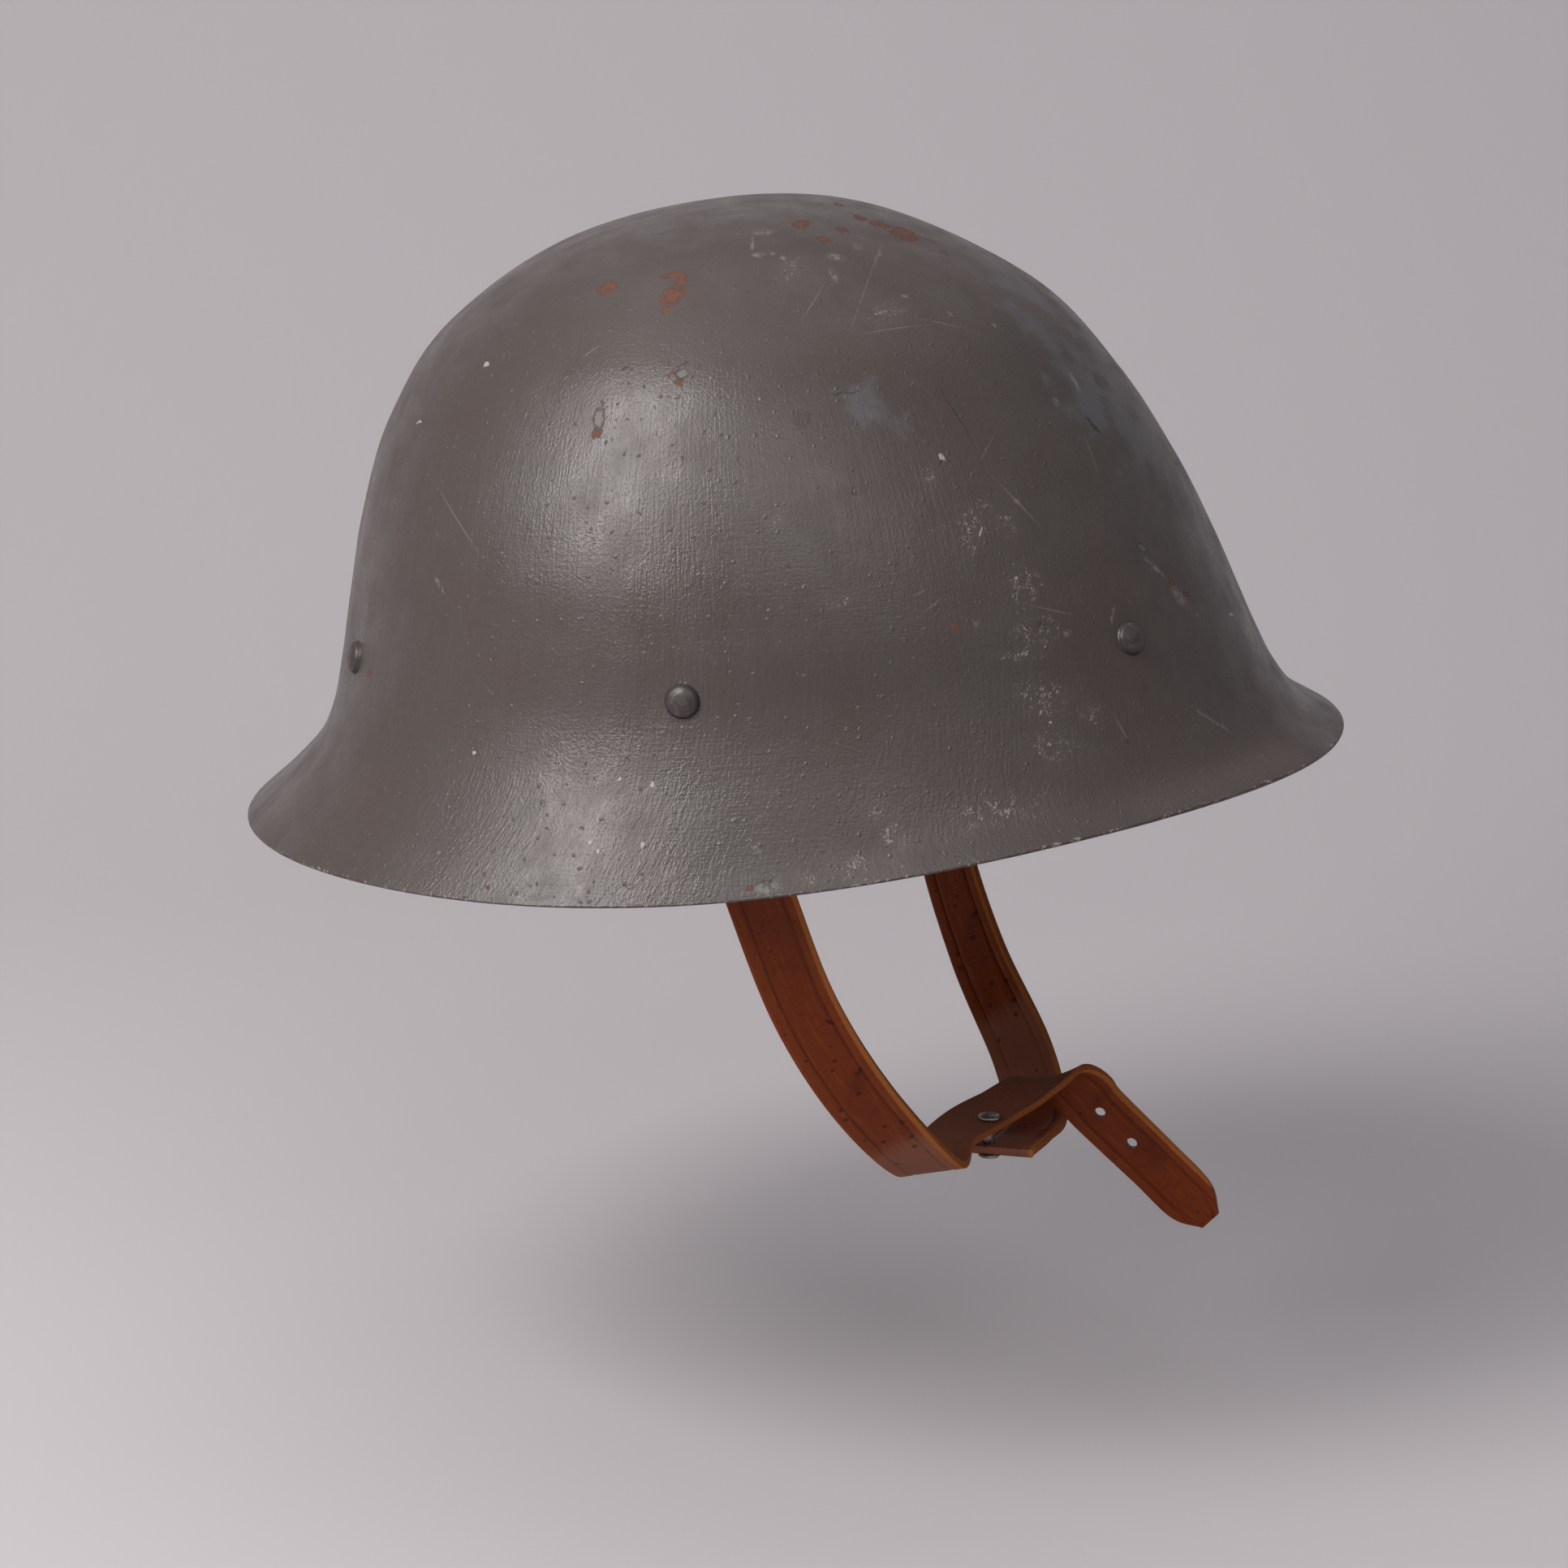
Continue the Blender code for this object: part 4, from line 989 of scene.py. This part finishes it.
# Where each finish lies: its measure, and the two values between which it comes in
LEATHER_STEPS = (
    # Painted sheen: a pale pink, painted into the grain's colour, that stands in for light glancing off the
    # straps' lower turns
    ("near_stretch", "MULTIPLY_ADD", "rub", 0.5, "bloom"),
    ("bloom", "EASE", "near_stretch", 0.25, 1.15),
    ("nick", "EASE", "from_nick", 1.0, 0.5),
    ("margin", "EASE", "wander", CREASE_AT + 0.3, CREASE_AT + 1.2),
    ("past_crease", "SUBTRACT", "from_middle", CREASE_AT),
    ("from_crease", "ABSOLUTE", "past_crease"),
    ("crease", "EASE", "from_crease", 0.65, 0.15),
    ("shoulder", "EASE", "wander", HALF_STRAP - 0.75, HALF_STRAP + 0.1),
    ("fuzzy_front", "MULTIPLY_ADD", "fibre", 0.8, "parts.Y"),
    ("front bevel", "EASE", "fuzzy_front", HALF_STRAP - 1.35, HALF_STRAP - 0.95),
    ("cut edge", "EASE", "from_middle", HALF_STRAP - 0.25, HALF_STRAP - 0.08),
    ("flesh", "EASE", "parts.Z", -HALF_THICK + 0.35, -HALF_THICK + 0.1),
    ("cracks", "EASE", "crack", 0.60, 0.68),
    ("stains", "EASE", "stain", 0.48, 0.70),
    ("rubbed", "EASE", "rub", 0.50, 0.72),
    ("dust", "EASE", "fibre", 0.58, 0.74),
    ("from_speck", "MULTIPLY_ADD", "speckled", -0.09, "speck.Distance"),
    ("specks", "EASE", "from_speck", 0.13, 0.07),
    ("surface", "BLEND", "stain", "#68260a", "#75330f"),
    ("gloss", "RAMP", "rub", 0.0, 1.0, 0.40, 0.52),
    ("rise", "MULTIPLY", "pebble", 0.05),
)
# The finishes in order: how much of each shows, its colour, roughness and rise in millimetres
LEATHER_LAYERS = (
    ("rubbed", 0.50, "#8f4518", 0.48, 0.0),
    ("stains", 0.50, "#451506", 0.52, 0.0),
    ("margin", 0.22, "#8c451a", 0.52, 0.03),
    ("crease", 0.32, "#3a1306", 0.52, 0.0),
    ("cracks", 0.30, "#330f05", 0.60, -0.05),
    ("dust", 0.08, "#8a5f48", 0.60, 0.01),
    # Painted sheen: pale pink painted over the grain where the straps turn under the chin
    ("bloom", 0.55, "#8d5f4c", 0.60, 0.0),
    ("nick", 0.80, "#2a0f06", 0.60, -0.10),
    ("specks", 0.60, "#1e0b06", 0.60, -0.03),
    ("shoulder", 0.40, "#86451f", 0.60, 0.0),
    ("front bevel", 0.80, "#a5622f", 0.85, -0.10),
    ("flesh", 0.90, "#7c4b36", 0.85, 0.0),
    ("cut edge", 0.85, "#a05e2f", 0.85, 0.0),
)
SUEDE_STEPS = (
    ("rough", "MAXIMUM", "flesh", "cut edge"),
    ("suede", "MULTIPLY", "rough", "fibre"),
    ("rise", "MULTIPLY_ADD", "suede", 0.25, "rise"),
    ("surface", "TINT", "suede", "surface", "#a08070"),
)
leather, tree, shader, value = new_material("vegetable-tanned strap leather", on_strap="Vector")
follow(tree, value, GRAIN_STEPS)
for name, places in LEATHER_STRETCHES.items():
    value[name] = 0.0
    for centre, half in places:
        follow(tree, value, (
            ("away", "SUBTRACT", "parts.X", centre),
            ("away", "ABSOLUTE", "away"),
            ("near", "EASE", "away", half, half / 3),
            (name, "MAXIMUM", "near", name)))
nick = add(tree, "ShaderNodeMapping", {"vector_type": "TEXTURE"}, {"Vector": value["on_strap"], **NICK})
value["from_nick"] = add(tree, "ShaderNodeVectorMath", {"operation": "LENGTH"}, {0: nick})
follow(tree, value, LEATHER_STEPS)
lay_finishes(tree, value, LEATHER_LAYERS)
follow(tree, value, SUEDE_STEPS)
dress(tree, shader, value)
feed(tree, shader, {"Specular IOR Level": 0.15})

strap_sweep = strap_tree()
stud_low, stud_high = (Vector(corner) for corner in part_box("strap_stud"))
stud_middle = (stud_low + stud_high) / 2
for hand in ("right", "left"):
    rows = strap_rows(hand)
    section = strap_section()
    cut_across = line_of("cut across", [(across, through, 0.0) for across, through in section],
                         dict(zip(("across", "through"), zip(*section))), closed=True)
    route = line_of("route", [row[:3] for row in rows], {
        "row": [float(index - 1) for index in range(len(rows))],
        "front_edge": [row[3:6] for row in rows], "width": [row[6] for row in rows]})
    strap = made_by(strap_sweep, "chin_strap_" + hand, route, {
        "Section": cut_across, "Steps per Row": STEPS_PER_ROW, "Last Row": len(rows) - 3 + ROW_MARGIN,
        "Material": leather})
    bpy.data.objects.remove(cut_across, do_unlink=True)
    stations = strap_stations(strap.data)
    middle, edge, face, run = stations
    rivet = rivet_places["side_" + hand]
    outward = rivet.to_3x3().col[2]
    stud_station = np.linalg.norm((middle - np.array(stud_middle))[:, :2], axis=1).argmin()
    holes = [
        (rivet.translation - outward * (STEEL + WALL_GAP + STRAP_THICK / 2), outward, RIVET_SHANK + 2 * GAP),
        ((stud_middle.x, stud_middle.y, middle[stud_station][2]), (0, 0, 1), STUD_POST + 2 * STUD_SLACK)]
    for back, forward in HOLES[hand].values():
        station = np.abs(run[-1] - back - run).argmin()
        holes.append((middle[station] + edge[station] * forward, face[station], HOLE))
    punch(strap, holes)
    lay_on_strap(strap.data, stations)
    strap.data.shade_smooth()
    strap.data.set_sharp_from_angle(angle=SHARP_LEATHER)
    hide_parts("strap_" + hand)
    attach(strap, "root")

# Stud
# A plain steel stud with two flat heads holds the straps together under the chin. It is turned from bar,
# its edges are broken, and handling has dulled it.
STUD_EDGE = 0.3 * MM
TOOL_MARK = 0.25 * MM
TOOL_MARK_DEPTH = 0.03 * MM
STUD_STEPS = (
    ("tarnish", "NOISE", "place", 1 / (1.6 * MM), 4.0),
    ("stained", "EASE", "tarnish", 0.45, 0.65),
    ("surface", "BLEND", "stained", "#9a9793", "#5f5750"),
    ("gloss", "RAMP", "stained", 0.0, 1.0, 0.38, 0.60),
)
stud_steel, tree, shader, value = new_material("dull turned steel", from_axis="Fac")
follow(tree, value, STUD_STEPS)
value["rise"] = add(tree, "ShaderNodeTexNoise", {"noise_dimensions": "1D"}, {
    "W": value["from_axis"], "Scale": 1 / TOOL_MARK})
dress(tree, shader, value, TOOL_MARK_DEPTH)
feed(tree, shader, {"Metallic": 1.0})
head, post = STUD_HEAD / 2, STUD_POST / 2
top = (stud_high.z - stud_low.z) / 2
under = top - STUD_HEAD_THICK
# The head's top edge is rounded off and its lower edge broken, by shares of STUD_EDGE
stud_profile = [
    (0.0, top), (0.8 * head - STUD_EDGE, top), (head - STUD_EDGE, top - 0.5 * STUD_EDGE),
    (head, top - 1.6 * STUD_EDGE), (head, under + 0.3 * STUD_EDGE), (head - 0.3 * STUD_EDGE, under),
    (post + 0.2 * STUD_EDGE, under), (post, under - STUD_EDGE)]
stud_profile += [(radius, -height) for radius, height in reversed(stud_profile)]
profile = line_of("profile", [(radius, 0.0, height) for radius, height in stud_profile], {})
stud = made_by(turned, "chin_strap_stud", profile, {"Faces Around": FACES_ROUND, "Material": stud_steel})
stud.data.transform(Matrix.Translation(stud_middle))
stud.data.set_sharp_from_angle(angle=SHARP_STEEL)
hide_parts("strap_stud")
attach(stud, "root")

# Floor and wall
# A sheet of plain pale grey paper lies on the floor and rolls up into the wall behind the helmet.
FLOOR_AT = -0.345
PAPER_WIDTH = 6.0
PAPER_IN_FRONT = 3.0
PAPER_BEHIND = 0.5
PAPER_ROLL = 0.9
PAPER_HEIGHT = 2.6

away = (LOOKS_AT - CAMERA_AT) * Vector((1, 1, 0))
away.normalize()
sideways = away.cross(Vector((0, 0, 1)))
paper_profile = [(-PAPER_IN_FRONT, 0.0), (PAPER_BEHIND, 0.0)]
for turn in range(6, 91, 6):
    lean = math.radians(turn)
    paper_profile.append((PAPER_BEHIND + PAPER_ROLL * math.sin(lean), PAPER_ROLL * (1 - math.cos(lean))))
paper_profile.append((PAPER_BEHIND + PAPER_ROLL, PAPER_HEIGHT))
corners = [away * run + sideways * side * PAPER_WIDTH / 2 + Vector((0, 0, FLOOR_AT + up))
           for run, up in paper_profile for side in (-1, 1)]
sheet = bpy.data.meshes.new("paper sweep")
sheet.from_pydata(corners, [], [(2 * row, 2 * row + 1, 2 * row + 3, 2 * row + 2)
                                for row in range(len(paper_profile) - 1)])
sheet.shade_smooth()
paper_sweep = bpy.data.objects.new("paper_sweep", sheet)
scene.collection.objects.link(paper_sweep)
paper, tree, shader, value = new_material("matt grey paper")
feed(tree, shader, {"Base Color": "#c1bdc0", "Roughness": 0.9})
sheet.materials.append(paper)

# Light
# Softboxes on the left, one high and one low, light the dome and the flare. A wide one overhead lights the
# paper, and a weak one fills from the left front. Each has its direction and distance from the helmet's
# middle, its size in metres, its power and its colour.
LIT_POINT = Vector((0.0, 0.0, -0.10))
LIGHTS = {
    "high_softbox": ((-0.66, 0.46, 0.84), 1.5, (0.60, 0.55), 13.0, (1.0, 0.97, 0.955)),
    "low_softbox": ((-0.78, 0.60, 0.44), 1.7, (0.75, 0.28), 12.0, (1.0, 0.97, 0.955)),
    "front_fill": ((-0.95, -0.40, 0.85), 2.2, (1.4, 1.0), 8.0, (1.0, 0.985, 0.98)),
    "overhead": ((0.35, 0.20, 1.0), 2.6, (3.0, 3.0), 17.0, (1.0, 0.985, 0.985)),
}
for name, (toward, distance_away, size, power, tint) in LIGHTS.items():
    light = bpy.data.objects.new(name, bpy.data.lights.new(name, "AREA"))
    scene.collection.objects.link(light)
    light.location = LIT_POINT + Vector(toward).normalized() * distance_away
    light.rotation_euler = (LIT_POINT - light.location).to_track_quat("-Z", "Y").to_euler()
    light.data.shape = "RECTANGLE"
    light.data.size, light.data.size_y = size
    light.data.energy = power
    light.data.color = tint

# The pale studio gets darker toward one side, behind the softboxes
DARK_SIDE = (-0.96, 0.20, -0.20)
DARK_STUDIO = (0.05, 0.049, 0.05, 1.0)
PALE_STUDIO = (0.306, 0.299, 0.309, 1.0)
scene.world = bpy.data.worlds.new("studio")
scene.world.use_nodes = True
tree = scene.world.node_tree
value = {"direction": add(tree, "ShaderNodeNewGeometry").outputs["Position"]}
follow(tree, value, (
    ("heading", "VECTOR_DOT_PRODUCT", "direction", DARK_SIDE),
    ("pale", "EASE", "heading", 1.0, 0.5),
    ("studio", "BLEND", "pale", DARK_STUDIO, PALE_STUDIO)))
feed(tree, tree.nodes["Background"], {"Color": value["studio"]})
scene.view_settings.view_transform = "Standard"
